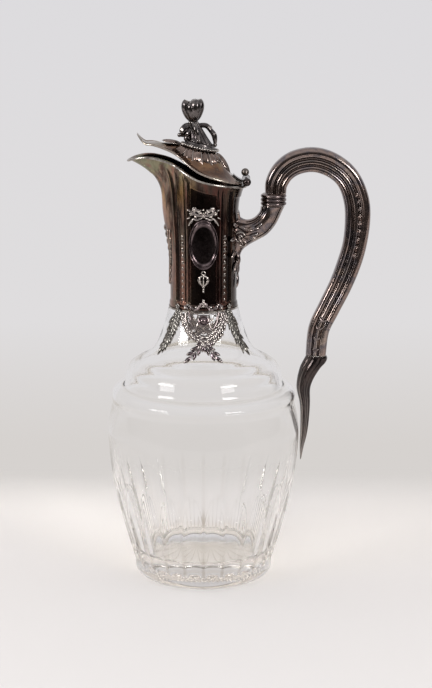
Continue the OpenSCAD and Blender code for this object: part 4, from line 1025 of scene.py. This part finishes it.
def laurel(start, end, pairs, length, width, sway=0.0):
    """Stem and leaves of a laurel branch on the glass, between two places of azimuth and height."""
    t = np.linspace(0, 1, 12)
    azimuth = start[0] + (end[0] - start[0]) * t + sway * np.sin(np.pi * t)
    stem = glass_point(azimuth, start[1] + (end[1] - start[1]) * t, 0.55)
    parts = [tube(stem, np.linspace(0.6, 0.35, len(t)), stem * (1, 1, 0), 6)]
    leaves = []
    for i in range(pairs + 1):
        t = (i + 0.15) / (pairs + 1.35)
        a, z = lerp(start[0], end[0], t) + sway * math.sin(math.pi * t), lerp(start[1], end[1], t)
        arc = math.radians(end[0] - start[0] + sway * math.pi * math.cos(math.pi * t)) * glass_r(z)
        lean = math.degrees(math.atan2(arc, end[1] - start[1]))
        for side in (0,) if i == pairs else (-1, 1):
            size = scatter.uniform(0.88, 1.1)
            leaves.append(leaf_at(glass_point, a, z, lean + side * scatter.uniform(18, 34), length * size,
                                  width * size, 1.0, 0.25))
    return parts, leaves


swag("front_swag_laurel", -90, "front_swag")
swag("back_swag_laurel", 90, "back_swag")

sprig_z = mount_z - 18.6
for name, a, node in (("front_sprigs_crossed", -90, "front_sprigs"),
                      ("back_sprigs_crossed", 90, "back_sprigs")):
    parts, leaves = [], []
    for s in (-1, 1):
        stem, pairs = laurel((a - s * 7, sprig_z + 3.4), (a + s * 18, sprig_z - 9.4), 4, 5.8, 2.5, s * 1.5)
        parts += stem
        leaves += pairs
    leaves += flower_at(glass_point, a, sprig_z + 0.6, 1.9, 5)
    dress(ornament(name, swag_silver, leaves, [(glass_point(a, sprig_z + 0.6, 1.1), 0.6)], parts),
          "root", "ornament_silver", node)

branch_silver = silver("cast_silver_green_grey", ["#2E2C2A", "#565350", "#7C7973", "#413E3B", "#908B84"], 6,
                       0.18, soot=0.95, polish=0.8)
for name, a, node in (("spout_branches_laurel", 180, "spout_branches"),
                      ("handle_branches_laurel", 0, "handle_branches")):
    parts, leaves = [], []
    for s in (-1, 1):
        stem, pairs = laurel((a + s * 41, mount_z - 0.5), (a + s * 31, mount_z - 24.5), 10, 7.2, 2.2, s * 2)
        parts += stem
        leaves += pairs
        leaves += laurel((a + s * 45, mount_z), (a + s * 37, mount_z - 20), 8, 6.4, 2.0, s * 3)[1]
        leaves += laurel((a + s * 47, mount_z + 1), (a + s * 46, mount_z - 12), 5, 5.6, 1.9)[1]
        leaves += flower_at(mount_point, a + s * 43, mount_z + 1.6, 2.0, 5)
    dress(ornament(name, branch_silver, leaves, (), parts, reach=0.6), "root", "ornament_silver", node)

# Husks, and the ribbon under the spout
# Strings of bell husks, each of three leaves, run down the four pilasters. The panel under the
# spout has a torch of leaf pairs and beads between two pairs of ribbons that run together in a V.
leaves = []
for front in (-90, 90):
    for s in (-1, 1):
        a = front + s * 37.8
        for i in range(11):
            z, size = mount_z + 44 - 3.7 * i, 1 - 0.045 * i
            leaves += [leaf_at(mount_point, a, z, 180 + lean, 3.3 * size, 1.3 * size, 0.4,
                               -0.45) for lean in (-20, 20, 0)]
dress(ornament("pilaster_husks_strings", mount_silver, leaves), "root", "ornament_silver",
      "pilaster_husks")

parts, leaves, beads = [], [], []
for s in (-1, 1):
    for start, end in ((22, 5), (16, 2)):
        t = np.linspace(0, 1, 15)
        line = mount_point(180 + s * lerp(start, end, t), mount_z + lerp(46, 13, t) + 1.2 * np.sin(9 * t),
                           -0.1)
        parts.append(tube(line, 0.55, line * (1, 1, 0), 6))
    leaves += [leaf_at(mount_point, 180 + s * lerp(17, 5, i / 7), mount_z + lerp(42, 16, i / 7),
                       180 - s * 30, 3.8, 1.8, 0.7, -0.5) for i in range(8)]
leaves += [leaf_at(mount_point, 180, mount_z + 12 + 4 * i, lean, 4.4, 2.0, 0.7, -0.5) for i in range(9)
           for lean in (-22, 22)]
beads += [(mount_point(180, mount_z + 14 + 4 * i, -0.2), 0.5) for i in range(9)]
dress(ornament("spout_ribbon_torch", mount_silver, leaves, beads, parts), "root", "ornament_silver",
      "spout_ribbon")

# Hinge
# Two knuckles soldered to the rim, one on the lid's strap, and a drawn pin that ends in two balls. A ribbed
# knob over the middle knuckle takes the thumb. These are the parts that hands rub bright.
hinge_silver = silver("hinge_silver_handled", ["#3C3635", "#5A524F", "#7A726C", "#4A4240"], 5, 0.18,
                      soot=0.85)
pin_silver = silver("drawn_silver_pin", ["#2E2828", "#4A4240"], 4, 0.16, soot=0.5)
for node in ("fixed_knuckles", "lid_hinge_leaf"):
    coat(node, hinge_silver)
coat("hinge_pin", pin_silver)
ajar, knuckle_r, knob_r, knob_back = 6, 2.2, 2.3, 1.3
hinge = np.array(frame["joints"][0]["pos_m"]) / MM
hinge_x, hinge_z = hinge[0], hinge[2]


def turn_y(points, degrees, about=(0, 0, 0)):
    """Points turned about an axis along Y through a place."""
    c, s = math.cos(math.radians(degrees)), math.sin(math.radians(degrees))
    p = np.asarray(points, float) - about
    return np.stack([p[..., 0] * c + p[..., 2] * s, p[..., 1], p[..., 2] * c - p[..., 0] * s], -1) + about


def lid_pose(points):
    """Points of the closed lid, moved to where it stands ajar."""
    return turn_y(points, ajar, hinge)


def turned(line, ribs=0, rib_depth=0.0, sides=48):
    """Points and faces of a lathed piece from radius and height pairs, with ribs cut along it."""
    line = np.asarray(line, float)
    w = 2 * np.pi * np.arange(sides) / sides
    r = line[:, :1] * (1 - rib_depth * (0.5 - 0.5 * np.cos(ribs * w))[None] * (line[:, :1] > 0.01))
    rows = np.stack([r * np.cos(w), r * np.sin(w), np.repeat(line[:, 1:], sides, 1)], -1)
    return rows.reshape(-1, 3), ring_faces(len(line), sides, capped=True)


arc = np.radians(np.linspace(-89, 89, 25))
points, faces = turned(np.column_stack([knob_r * np.cos(arc), knob_r * np.sin(arc)]), 12, 0.1)
knob_place = np.array([hinge_x - knob_back, 0, hinge_z + knuckle_r + knob_r + 0.1])
knob = shell("thumb_knob_ribbed", lid_pose(turn_y(points, 90) + knob_place), faces, hinge_silver)
mark_hollows(knob, 0.5)
dress(knob, "lid", "hinge_silver", "thumb_knob")

# Lid
# One sheet raised to follow the rim, with a turned-up beak over the spout and a drum on its crown. It is
# thin and was often polished, so its tarnish is a thin amber film and not a crust.
lid_reach, lid_over, lid_t, lid_gap = 41, 0.4, 1.0, 0.3
beak_curl, drum_r, drum_h, drum_x, drum_rise, drum_tilt = 6.4, 10.2, 3.6, 4.1, 14.1, 6.4
lid_back_x = hinge_x - knuckle_r - 0.5
drum_z, drum_seat = mount_z + mount_h + drum_rise, drum_r - 0.6
lid_silver = silver("raised_silver_amber_film",
                    ["#625646", "#7E7056", "#7C5E48", "#58453C", "#8C826C"], 16, 0.15, soot=0.7, polish=0.5)


def lid_edge(a):
    r = mouth_ray(a, lid_reach, lid_over)
    return np.where(np.cos(a) > 0.3, np.minimum(r, lid_back_x / np.maximum(np.cos(a), 0.3)), r)


def lid_point(a, u, under=0.0):
    """A place on the closed lid: u is 0 at the edge, 1 at the drum's seat; under is a share of its wall."""
    edge = lid_edge(a)
    x0, y0 = edge * np.cos(a), edge * np.sin(a)
    x1, y1 = drum_seat * np.cos(a) - drum_x, drum_seat * np.sin(a)
    x, y = lerp(x0, x1, u), lerp(y0, y1, u)
    rise = drum_z - (x1 + drum_x) * math.tan(math.radians(drum_tilt)) - rim_z(x1) - lid_gap - lid_t
    curl = beak_curl * np.maximum(0, (-x - lid_reach + 6) / 6) ** 1.5
    top = rim_z(x) + lid_gap + lid_t + curl + u ** lerp(2.4, 1.6, (1 + np.cos(a)) / 2) * rise
    return np.stack([x, y, top - under * lid_t * (1 + 1.2 * u)], -1)


def hump(x, centre, width):
    """A smooth hump of height 1 over a place."""
    return np.exp(-(((x - centre) / width) ** 2))


lid_around = np.radians(np.linspace(-90, 270, 361)[:-1])
lid_rows = np.unique(np.concatenate([np.linspace(0, 0.16, 15), np.linspace(0.16, 1, 30)]))
bevel = 0.3 * hump(lid_rows, 0.05, 0.012) - 0.22 * hump(lid_rows, 0.085, 0.014)
rows = [lid_point(lid_around, u) + (0, 0, h) for u, h in zip(lid_rows, bevel)]
rows += [lid_point(lid_around, u, 1.0) for u in lid_rows[::-2]]
rows[-1] = lid_point(lid_around, 0, 0.85)
lid = shell("lid_sheet_raised", lid_pose(np.concatenate(rows)),
            ring_faces(len(rows), len(lid_around), closed=True), lid_silver)
mark_hollows(lid, 1.5, 2)
dress(lid, "lid", "lid_silver", "lid_cover")


def on_drum(points, height=0.0):
    """Points of the drum's own frame, moved to the lid as it stands ajar."""
    raised = np.asarray(points, float) + (0, 0, height + 0.1)
    return lid_pose(turn_y(raised, drum_tilt) + (-drum_x, 0, drum_z))


drum_line = [(0.05, 0), (drum_r, 0), (drum_r + 0.1, 0.3), (drum_r, 0.7), (drum_r - 0.5, 1.0),
             (drum_r - 0.9, 1.2), (drum_r - 0.5, 1.5), (drum_r - 0.5, 1.9), (drum_r - 1.0, 2.2),
             (drum_r - 1.7, 2.5), (drum_r - 1.5, 2.9), (drum_r - 2.2, 3.3), (drum_r - 2.6, drum_h),
             (0.05, drum_h)]
points, faces = turned(drum_line, sides=96)
finial_silver = silver("cast_silver_charcoal", ["#343032", "#4E4848", "#6C6664", "#3E3A3C", "#7E7874"], 8,
                       0.18,
                        soot=0.9, polish=0.7)
drum = shell("lid_drum_turned", on_drum(points), faces, finial_silver)
mark_hollows(drum, 0.35, 1)
dress(drum, "lid", "lid_silver", "lid_drum")

bead_count = 44
w = 2 * np.pi * np.arange(bead_count) / bead_count
ring = np.column_stack([(drum_r + 0.55) * np.cos(w), (drum_r + 0.55) * np.sin(w),
                        np.full(bead_count, 0.28 * drum_h)])
dress(ornament("lid_beads_struck", finial_silver, (), [(p, 0.72) for p in on_drum(ring)]), "lid",
      "lid_silver", "lid_bead_ring")

# Leaves on the lid
# A cast acanthus leaf lies from the drum towards the spout, others droop from the drum all round, and a long
# one runs down the back slope.
def lid_place(a, u, out, lean=0.0):
    """Place, direction towards the edge, and outward normal on the lid as it stands, for a leaf."""
    a = math.radians(a)
    here = lid_point(a, u)
    down = unit(lid_point(a, u - 0.02) - here)
    side = unit(lid_point(a + 0.02, u) - lid_point(a - 0.02, u))
    normal = unit(np.cross(side, -down))
    normal = normal if normal[2] > 0 else -normal
    along = math.cos(math.radians(lean)) * down + math.sin(math.radians(lean)) * side
    place = lid_pose(here + out * normal)
    return place, lid_pose(here + along) - lid_pose(here), lid_pose(here + normal) - lid_pose(here)


leaves = []
for a, u, lean, length, width, thick in (
        (180, 0.97, 0, 12, 8.0, 1.6), (180, 0.97, 24, 10, 4.6, 1.4), (180, 0.97, -24, 10, 4.6, 1.4),
        (180, 0.86, 14, 8, 3.4, 1.2), (180, 0.86, -14, 8, 3.4, 1.2), (152, 0.97, 10, 8, 4.2, 1.2),
        (208, 0.97, -10, 8, 4.2, 1.2), (0, 0.98, 0, 15.5, 5.4, 2.2), (0, 0.98, 9, 13, 3.2, 1.8),
        (0, 0.98, -9, 13, 3.2, 1.8), (32, 0.98, 0, 7, 3.6, 1.2), (-32, 0.98, 0, 7, 3.6, 1.2),
        *[(a, 0.98, 8 * math.sin(a), 7.5, 6.4, 1.3) for a in range(-146, -40, 24)],
        *[(a, 0.98, 8 * math.sin(a), 7.5, 6.4, 1.3) for a in range(50, 156, 24)],
        *[(a, 0.99, 0, 9.5, 3.0, 1.0) for a in (*range(-134, -60, 24), *range(62, 140, 24))]):
    place, along, out = lid_place(a, u, 0.25, lean)
    leaves.append((place, along, out, (width, length, thick)))
leaf_silver = silver("cast_silver_warm_leaf", ["#463B38", "#6C5D56", "#8A7870", "#574A46"], 7, 0.17,
                     soot=0.9, polish=0.7)
dress(ornament("lid_leaf_acanthus", leaf_silver, leaves, reach=0.8,
               **{"Across": 13, "Along": 20, "Curl": 0.06}),
      "lid", "lid_silver", "lid_leaf")

# Finial
# A ribbed stalk flares from the drum and ends in a bud of folded petals. Five leaf scrolls spring from its
# neck: three in the jug's plane and one to each side. All were cast and are screwed on from below.
finial_lean, stalk_h, bud_x = drum_tilt + ajar, 12, -4.4


def on_finial(points):
    """Points of the finial's upright frame, which stands on the drum."""
    return on_drum(turn_y(points, -finial_lean), drum_h)


rows = []
w = 2 * np.pi * np.arange(96) / 96
for s in np.linspace(0, 1, 25):
    r = lerp(drum_r - 2.8, 2.9, s**0.55) * (1 - 0.1 * (1 - np.abs(np.cos(5 * w))) * (1 + s))
    x = bud_x * s + r * np.cos(w)
    foot = (0.1 - x * math.tan(math.radians(finial_lean))) * (1 - s) ** 2
    rows.append(np.column_stack([x, r * np.sin(w), stalk_h * s + foot]))
faces = ring_faces(len(rows), len(w), capped=True)
stalk = shell("finial_stalk_ribbed", on_finial(np.concatenate(rows)), faces, finial_silver)
mark_hollows(stalk, 0.9, 2)
dress(stalk, "lid", "lid_silver", "finial_stalk")

parts, beads = [], []
for stations in ([(-2.4, 0, 9.4, 1.2), (0.4, 0, 9.8, 1.5), (3.4, 0, 9.4, 1.6), (5.6, 0, 7.0, 1.5),
                  (7.6, 0, 4.2, 1.7), (8.2, 0, 1.0, 1.4), (8.2, 0, -1.6, 0.8)],
                 [(-5.4, 0, 9.6, 1.4), (-8.0, 0, 9.0, 2.5), (-9.8, 0, 6.8, 2.8), (-10.6, 0, 4.8, 2.2),
                  (-12.4, 0, 4.2, 0.8)],
                 [(-5.0, 0, 7.5, 2.2), (-7.2, 0, 5.0, 2.6), (-7.8, 0, 2.4, 1.8)],
                 *[[(-4.2, s * 4.2, 11.4, 0.8), (-3.8, s * 6.4, 11.5, 1.2), (-3, s * 8.6, 9, 1.5),
                    (-2, s * 9.2, 5.6, 1.4), (-1.2, s * 8.4, 1.6, 0.9)] for s in (-1, 1)]):
    arm = curve(stations, 6)
    sideways = (0, 1, 0) if stations[0][1] == 0 else (1, 0, 0)
    sides = 24
    points, faces = tube(arm[:, :3], arm[:, 3], sideways, sides)
    spokes = points.reshape(-1, sides, 3)
    middle = arm[:, None, :3]
    ribs = 1 - 0.16 * (1 - np.abs(np.cos(3 * 2 * np.pi * np.arange(sides) / sides)))[None, :, None]
    parts.append((on_finial((middle + (spokes - middle) * ribs).reshape(-1, 3)), faces))
    beads.append((on_finial(arm[-1, :3]), arm[-1, 3] + 0.5))
    beads.append((on_finial(arm[len(arm) // 2, :3] + (0.0, 0, 1.6)), 1.0))
scrolls = ornament("finial_scrolls_leafy", finial_silver, (), beads, parts, reach=0.6)
dress(scrolls, "lid", "lid_silver", "finial_scrolls")

parts = []
petal = curve([(0.8, 0.4, 1.4), (2.2, 3.0, 2.3), (3.1, 6.4, 2.9), (3.3, 9.4, 2.8), (2.7, 11.5, 1.9)], 6)
for turn, share, tall, thick in ((10, 1.0, 1.08, 1.08), (72, 0.9, 1.06, 1.0), (-62, 0.85, 1.06, 1.08),
                                 (184, 1.3, 1.05, 0.88), (126, 0.9, 0.95, 0.95), (-118, 0.8, 0.93, 0.95)):
    turn = math.radians(turn)
    line = np.column_stack([petal[:, 0] * math.cos(turn) * share + bud_x,
                            petal[:, 0] * math.sin(turn) * share, petal[:, 1] * tall + stalk_h])
    sides = 28
    points, faces = tube(line, petal[:, 2] * thick, (math.cos(turn), math.sin(turn), 0), sides)
    middle = line[:, None]
    ribs = 1 - 0.11 * (1 - np.abs(np.cos(5 * 2 * np.pi * np.arange(sides) / sides)))[None, :, None]
    parts.append((on_finial((middle + (points.reshape(-1, sides, 3) - middle) * ribs).reshape(-1, 3)),
                  faces))
bud = shell("finial_bud_petals", *together(parts), finial_silver)
mark_hollows(bud, 0.8, 1)
dress(bud, "lid", "lid_silver", "finial_bud")


def turned_steel():
    """Bright mild steel with fine turning marks round it."""
    material, tree = blank("turned_mild_steel")
    rings = add(tree, "ShaderNodeTexWave", {"Vector": add(tree, "ShaderNodeTexCoord").outputs["Object"],
                                            "Scale": 1 / (0.8 * MM), "Distortion": 1.0}, bands_direction="Z")
    tone = add(tree, "ShaderNodeValToRGB", [rings.outputs["Fac"]])
    fill_ramp(tone, [(0, "#7C7A78"), (1, "#A9A7A4")])
    bump = add(tree, "ShaderNodeBump", {"Strength": 0.3, "Distance": 0.02 * MM,
                                        "Height": rings.outputs["Fac"]})
    add(tree, "ShaderNodeOutputMaterial", [add(tree, "ShaderNodeBsdfPrincipled",
                                               {"Base Color": tone.outputs[0], "Metallic": 1.0,
                                                "Roughness": 0.35, "Normal": bump})])
    return material


steel = turned_steel()
for node in ("finial_screw", "finial_nut"):
    coat(node, steel)

# Handle
# Cast in silver in three lengths and soldered: a root that rises from the mount, a ringed collar, and a
# reeded loop. It is dark, because the reeds hold their tarnish and were seldom polished.
collar_x, collar_r, collar_h, collar_up = 40.9, 7.6, 7.6, 58.7
loop_bulge, loop_end_z, loop_t, tail_gap = 40, 133.5, 11, 0.4
collar_z = mount_z + collar_up
handle_silver = silver("cast_silver_brown_tarnish",
                       ["#504A4C", "#726866", "#8E7C74", "#686266", "#9E8E84", "#7C7678"], 20, 0.16,
                       soot=0.86, polish=0.6)


def band(stations, section, level=False):
    """Points and faces of a band along stations of x, z, width and thickness, with a half section.
    A section is a share of the width and a share of the half thickness; the last ring is level."""
    p = np.asarray(stations, float)
    ahead = unit(np.vstack([p[1:, :2], p[-1:, :2]]) - np.vstack([p[:1, :2], p[:-1, :2]]))
    ahead[-1] = (0, -1)
    if level:
        ahead[:] = (0, -1)
    across = np.column_stack([-ahead[:, 1], ahead[:, 0]])
    section = np.asarray(section, float)
    both = np.vstack([section, section[::-1] * (1, -1)])
    w = both[None, :, 0] * p[:, 2:3]
    rows = np.stack([p[:, :1] + across[:, :1] * w, both[None, :, 1] * p[:, 3:4] / 2,
                     p[:, 1:2] + across[:, 1:] * w], -1)
    return rows.reshape(-1, 3), ring_faces(len(p), len(both), capped=True)


across = 0.5 * np.sin(np.radians(np.linspace(-90, 90, 57)))
reeds = np.maximum.reduce([
    0.86 * np.maximum(0, 1 - np.abs((across + 0.345) / 0.155) ** 2.6) ** 0.42,
    0.9 * np.maximum(0, 1 - np.abs((across + 0.07) / 0.125) ** 3.2) ** 0.34,
    1.0 * np.maximum(0, 1 - np.abs((across - 0.28) / 0.22) ** 2.8) ** 0.42,
    0.66 * np.maximum(0, 1 - np.abs(across / 0.46) ** 6)])
reeds = reeds - 0.1 * hump(across, 0.2, 0.012) - 0.08 * hump(across, -0.07, 0.012)
reeds = np.column_stack([across, reeds])
plain = curve([(-0.5, 0.05), (-0.44, 0.5), (-0.36, 0.75), (-0.1, 0.95), (0.15, 1), (0.38, 0.75), (0.46, 0.5),
               (0.5, 0.05)], 5)

loop_start = (collar_x + 1.2, collar_z + collar_h + seat)
loop_end = (body_r + 9.6, loop_end_z)
loop_stations = np.array([
    (0, 0, 12.4, 0.9), (0.05, -0.06, 13, 0.92), (0.19, -0.13, 13.6, 0.96), (0.39, -0.18, 14.2, 1),
    (0.64, -0.2, 14.4, 1), (0.86, -0.18, 14.4, 1), (1.04, -0.125, 14.2, 1), (1.13, -0.05, 14.4, 1),
    (1.15, 0.06, 15, 1), (1.09, 0.18, 14.8, 1), (0.97, 0.315, 14.1, 1), (0.81, 0.44, 14, 1),
    (0.61, 0.57, 13.4, 0.96), (0.36, 0.71, 13, 0.92), (0.14, 0.84, 12.6, 0.9), (0, 1, 12, 0.86)])
loop_path = curve(np.column_stack([
    loop_start[0] + (loop_end[0] - loop_start[0]) * loop_stations[:, 1] + loop_bulge * loop_stations[:, 0],
    lerp(loop_start[1], loop_end[1], loop_stations[:, 1]), loop_stations[:, 2],
    loop_stations[:, 3] * loop_t]), 12)
loop = shell("handle_loop_reeded", *band(loop_path, reeds), handle_silver)
mark_hollows(loop, 1.0, 1)
dress(loop, "root", "handle_silver", "handle_loop")

# Collar
# Three beads and a short cone, turned, that hide the joint between root and loop.
reed_h = collar_h / 3.4
collar_line = [(0.05, -0.4), (collar_r - 2.2, -0.4), (collar_r - 1.2, 0.2)]
for i in range(3):
    bead_arc = np.radians(np.linspace(-80, 80, 11))
    collar_line += [(collar_r - reed_h / 2 + 0.48 * reed_h * math.cos(a),
                     reed_h * (0.7 + i) + 0.48 * reed_h * math.sin(a))
                    for a in bead_arc]
collar_line += [(collar_r - 1.4, collar_h - 0.1), (collar_r - 2.2, collar_h), (0.05, collar_h)]
points, faces = turned(collar_line, sides=96)
collar_silver = silver("turned_silver_collar", ["#4A4143", "#6E6260", "#8A7E7A", "#574C4B"], 10, 0.17,
                       soot=0.95, polish=0.4)
collar = shell("handle_collar_beaded", points + (collar_x, 0, collar_z), faces, collar_silver)
mark_hollows(collar, 0.6, 1)
dress(collar, "root", "handle_silver", "handle_collar")

# Tail
# The loop ends in a spur and a long leaf that lies along the glass, with two grooves along it.
tail_x = body_r + tail_gap
tail_path = curve([(tail_x + x, loop_end_z + z, w, t) for x, z, w, t in (
    (9.5, -seat, 12, 9.4), (9.4, -2, 13.6, 9.5), (8.2, -4.6, 14, 9.6), (6, -8, 12.4, 9.4),
    (3.4, -14.2, 10, 8.6), (2.2, -20.5, 8.2, 7.6), (3.1, -28.5, 6.4, 6.4), (3.3, -35, 5.6, 5.6),
    (3, -43.5, 4.8, 4.6), (2.4, -50.5, 3.8, 3.4), (1.6, -56.5, 2.4, 2.2), (1, -64.5, 0.6, 0.8))], 8)
rolled = plain.copy()
rolled[:, 1] -= 0.26 * hump(plain[:, 0], -0.22, 0.05) + 0.14 * hump(plain[:, 0], 0.14, 0.04)
tail_silver = silver("cast_silver_dark_tail", ["#262324", "#3E3837", "#4E4441", "#2E2A2B"], 14, 0.2,
                     soot=0.9)
tail = shell("handle_tail_leaf", *band(tail_path, rolled, level=True), tail_silver)
mark_hollows(tail, 1.2, 1)
dress(tail, "root", "handle_silver", "handle_tail")

# Root
# The bracket swells out of the mount under two scrolls and acanthus leaves on both its faces.
root_edges = curve([(-0.05, 37.5, -0.05, 4, 11.5), (0, 35, 0, 5.3, 11.5), (0.12, 26.8, 0.17, 7.4, 11.2),
                    (0.29, 23.2, 0.3, 7.8, 11), (0.52, 20.4, 0.44, 6.9, 10.6), (0.83, 16.6, 0.55, 5, 10.4),
                    (1.07, 10.6, 0.62, 2.9, 10.4), (1.23, 3.6, 0.64, 1.3, 10.6), (1.31, 0, 0.64, 0, 11)], 8)
low = np.column_stack([lerp(sleeve_r, collar_x, root_edges[:, 0]), collar_z - seat - root_edges[:, 1]])
high = np.column_stack([lerp(sleeve_r, collar_x, root_edges[:, 2]), collar_z - seat - root_edges[:, 3]])
ridged = plain.copy()
ridged[:, 1] -= 0.2 * hump(plain[:, 0], -0.3, 0.04) + 0.16 * hump(plain[:, 0], 0.32, 0.035)
both = np.vstack([ridged, ridged[::-1] * (1, -1)])
spots = high[:, None] + (low - high)[:, None] * (0.5 - both[None, :, :1])
rows = np.stack([spots[..., 0], both[None, :, 1] * root_edges[:, 4:] / 2, spots[..., 1]], -1)
root_faces = ring_faces(len(rows), len(both), capped=True)


def root_face(share, level, side, out=0.0):
    """A place on the root's side: a share of its length, and a level from 0 at its lower edge to 1."""
    i = np.clip(share, 0, 1) * (len(root_edges) - 1)
    places = np.arange(len(root_edges))
    x, z = (lerp(np.interp(i, places, low[:, c]), np.interp(i, places, high[:, c]), level) for c in (0, 1))
    bulge = np.interp(level - 0.5, plain[:, 0], plain[:, 1])
    return np.stack([x, side * (np.interp(i, places, root_edges[:, 4]) / 2 * bulge + out), z], -1)


parts, leaves, beads = [(rows.reshape(-1, 3), root_faces)], [], []
for side in (-1, 1):
    spiral = np.linspace(0, 1, 34)
    turn = 2 * np.pi * 1.35 * spiral
    for share, level, size, first in ((0.17, 0.56, 3.6, 0.3), (0.26, 0.28, 2.4, 2.2)):
        centre = root_face(share, level, side)
        r = size * (1 - 0.78 * spiral)
        line = np.stack([centre[0] + r * np.cos(turn + first), np.full(34, centre[1] + side * 0.35),
                         centre[2] + r * np.sin(turn + first)], -1)
        parts.append(tube(line, np.linspace(0.5, 0.8, 34), (0, side, 0), 8))
        beads.append((centre + (0, side * 0.4, 0), 0.9))
    for share, level, angle, length, width in (
            (0.1, 0.8, -20, 7, 3), (0.2, 0.75, -10, 8, 3), (0.3, 0.7, 5, 9, 3), (0.24, 0.5, -5, 9, 3),
            (0.1, 0.3, -80, 7, 3), (0.08, 0.2, -85, 6.5, 2.6), (0.3, 0.4, 20, 9, 2.6),
            (0.12, 0.12, -88, 8, 2.4), (0.42, 0.55, 35, 9, 2.6), (0.1, 0.6, -50, 6, 2.6)):
        turn = math.radians(angle)
        leaves.append((root_face(share, level, side, 0.1), (math.cos(turn), 0, math.sin(turn)), (0, side, 0),
                       (width, length, 1.3)))
    for a, up, lean, length, width in ((16, 51, 25, 6, 2.6), (22, 47, 62, 7, 3), (25, 41, 92, 8, 3.2),
                                       (23, 34, 118, 8, 3), (19, 27, 148, 8, 2.8), (14, 20, 168, 9, 2.6),
                                       (10, 30, 175, 9, 2.8)):
        leaves.append(leaf_at(mount_point, side * a, mount_z + up, side * lean, length, width, 1.3, 0.2))
root = ornament("handle_root_acanthus", handle_silver, leaves, beads, parts, reach=0.9)
dress(root, "root", "handle_silver", "handle_root")

# Husks and crescents on the loop
# A garland of husks lies on each side face of the loop, and four small crescents a side mark its lower end.
def on_loop(t, level, side, out=0.15):
    """Place and downward direction on the loop's face: a share of its length and of its width."""
    i = t * (len(loop_path) - 1)
    here, there = (np.array([np.interp(j, np.arange(len(loop_path)), loop_path[:, c]) for c in range(4)])
                   for j in (i, i + 1))
    ahead = unit(there[:2] - here[:2])
    spot = here[:2] + np.array([-ahead[1], ahead[0]]) * level * here[2]
    thick = np.interp(level, reeds[:, 0], reeds[:, 1]) * here[3] / 2
    return np.array([spot[0], side * (thick + out), spot[1]]), np.array([ahead[0], 0, ahead[1]])


leaves, beads = [], []
for side in (-1, 1):
    for i in range(9):
        size = 1 - 0.05 * abs(i - 4)
        for lean in (-32, 32, 0):
            place, ahead = on_loop(0.5 + 0.024 * i, 0.08, side, -0.1)
            along = turn_y(ahead, lean)
            leaves.append((place, along, (0, side, 0), (1.8 * size, 4.2 * size, 1.2)))
        beads.append((place + (0, side * 0.8, 0), 0.6 * size))
dress(ornament("handle_husks_garland", handle_silver, leaves, beads, reach=0.4), "root", "handle_silver",
      "handle_husks")

parts = []
for side in (-1, 1):
    for i in range(4):
        place, ahead = on_loop(0.9 + 0.026 * i, -0.05, side, 0.15)
        sideways = np.array([-ahead[2], 0, ahead[0]])
        w = np.radians(np.linspace(-75, 75, 13))
        radius = 2.3 - 0.25 * i
        line = place + radius * (np.sin(w)[:, None] * sideways + (np.cos(w)[:, None] - 0.6) * ahead)
        parts.append(tube(line, 0.2 + 0.5 * np.cos(w), (0, side, 0), 8))
crescents = shell("handle_crescents_cast", *together(parts), collar_silver)
mark_hollows(crescents, 0.4, 1)
dress(crescents, "root", "handle_silver", "handle_crescents")
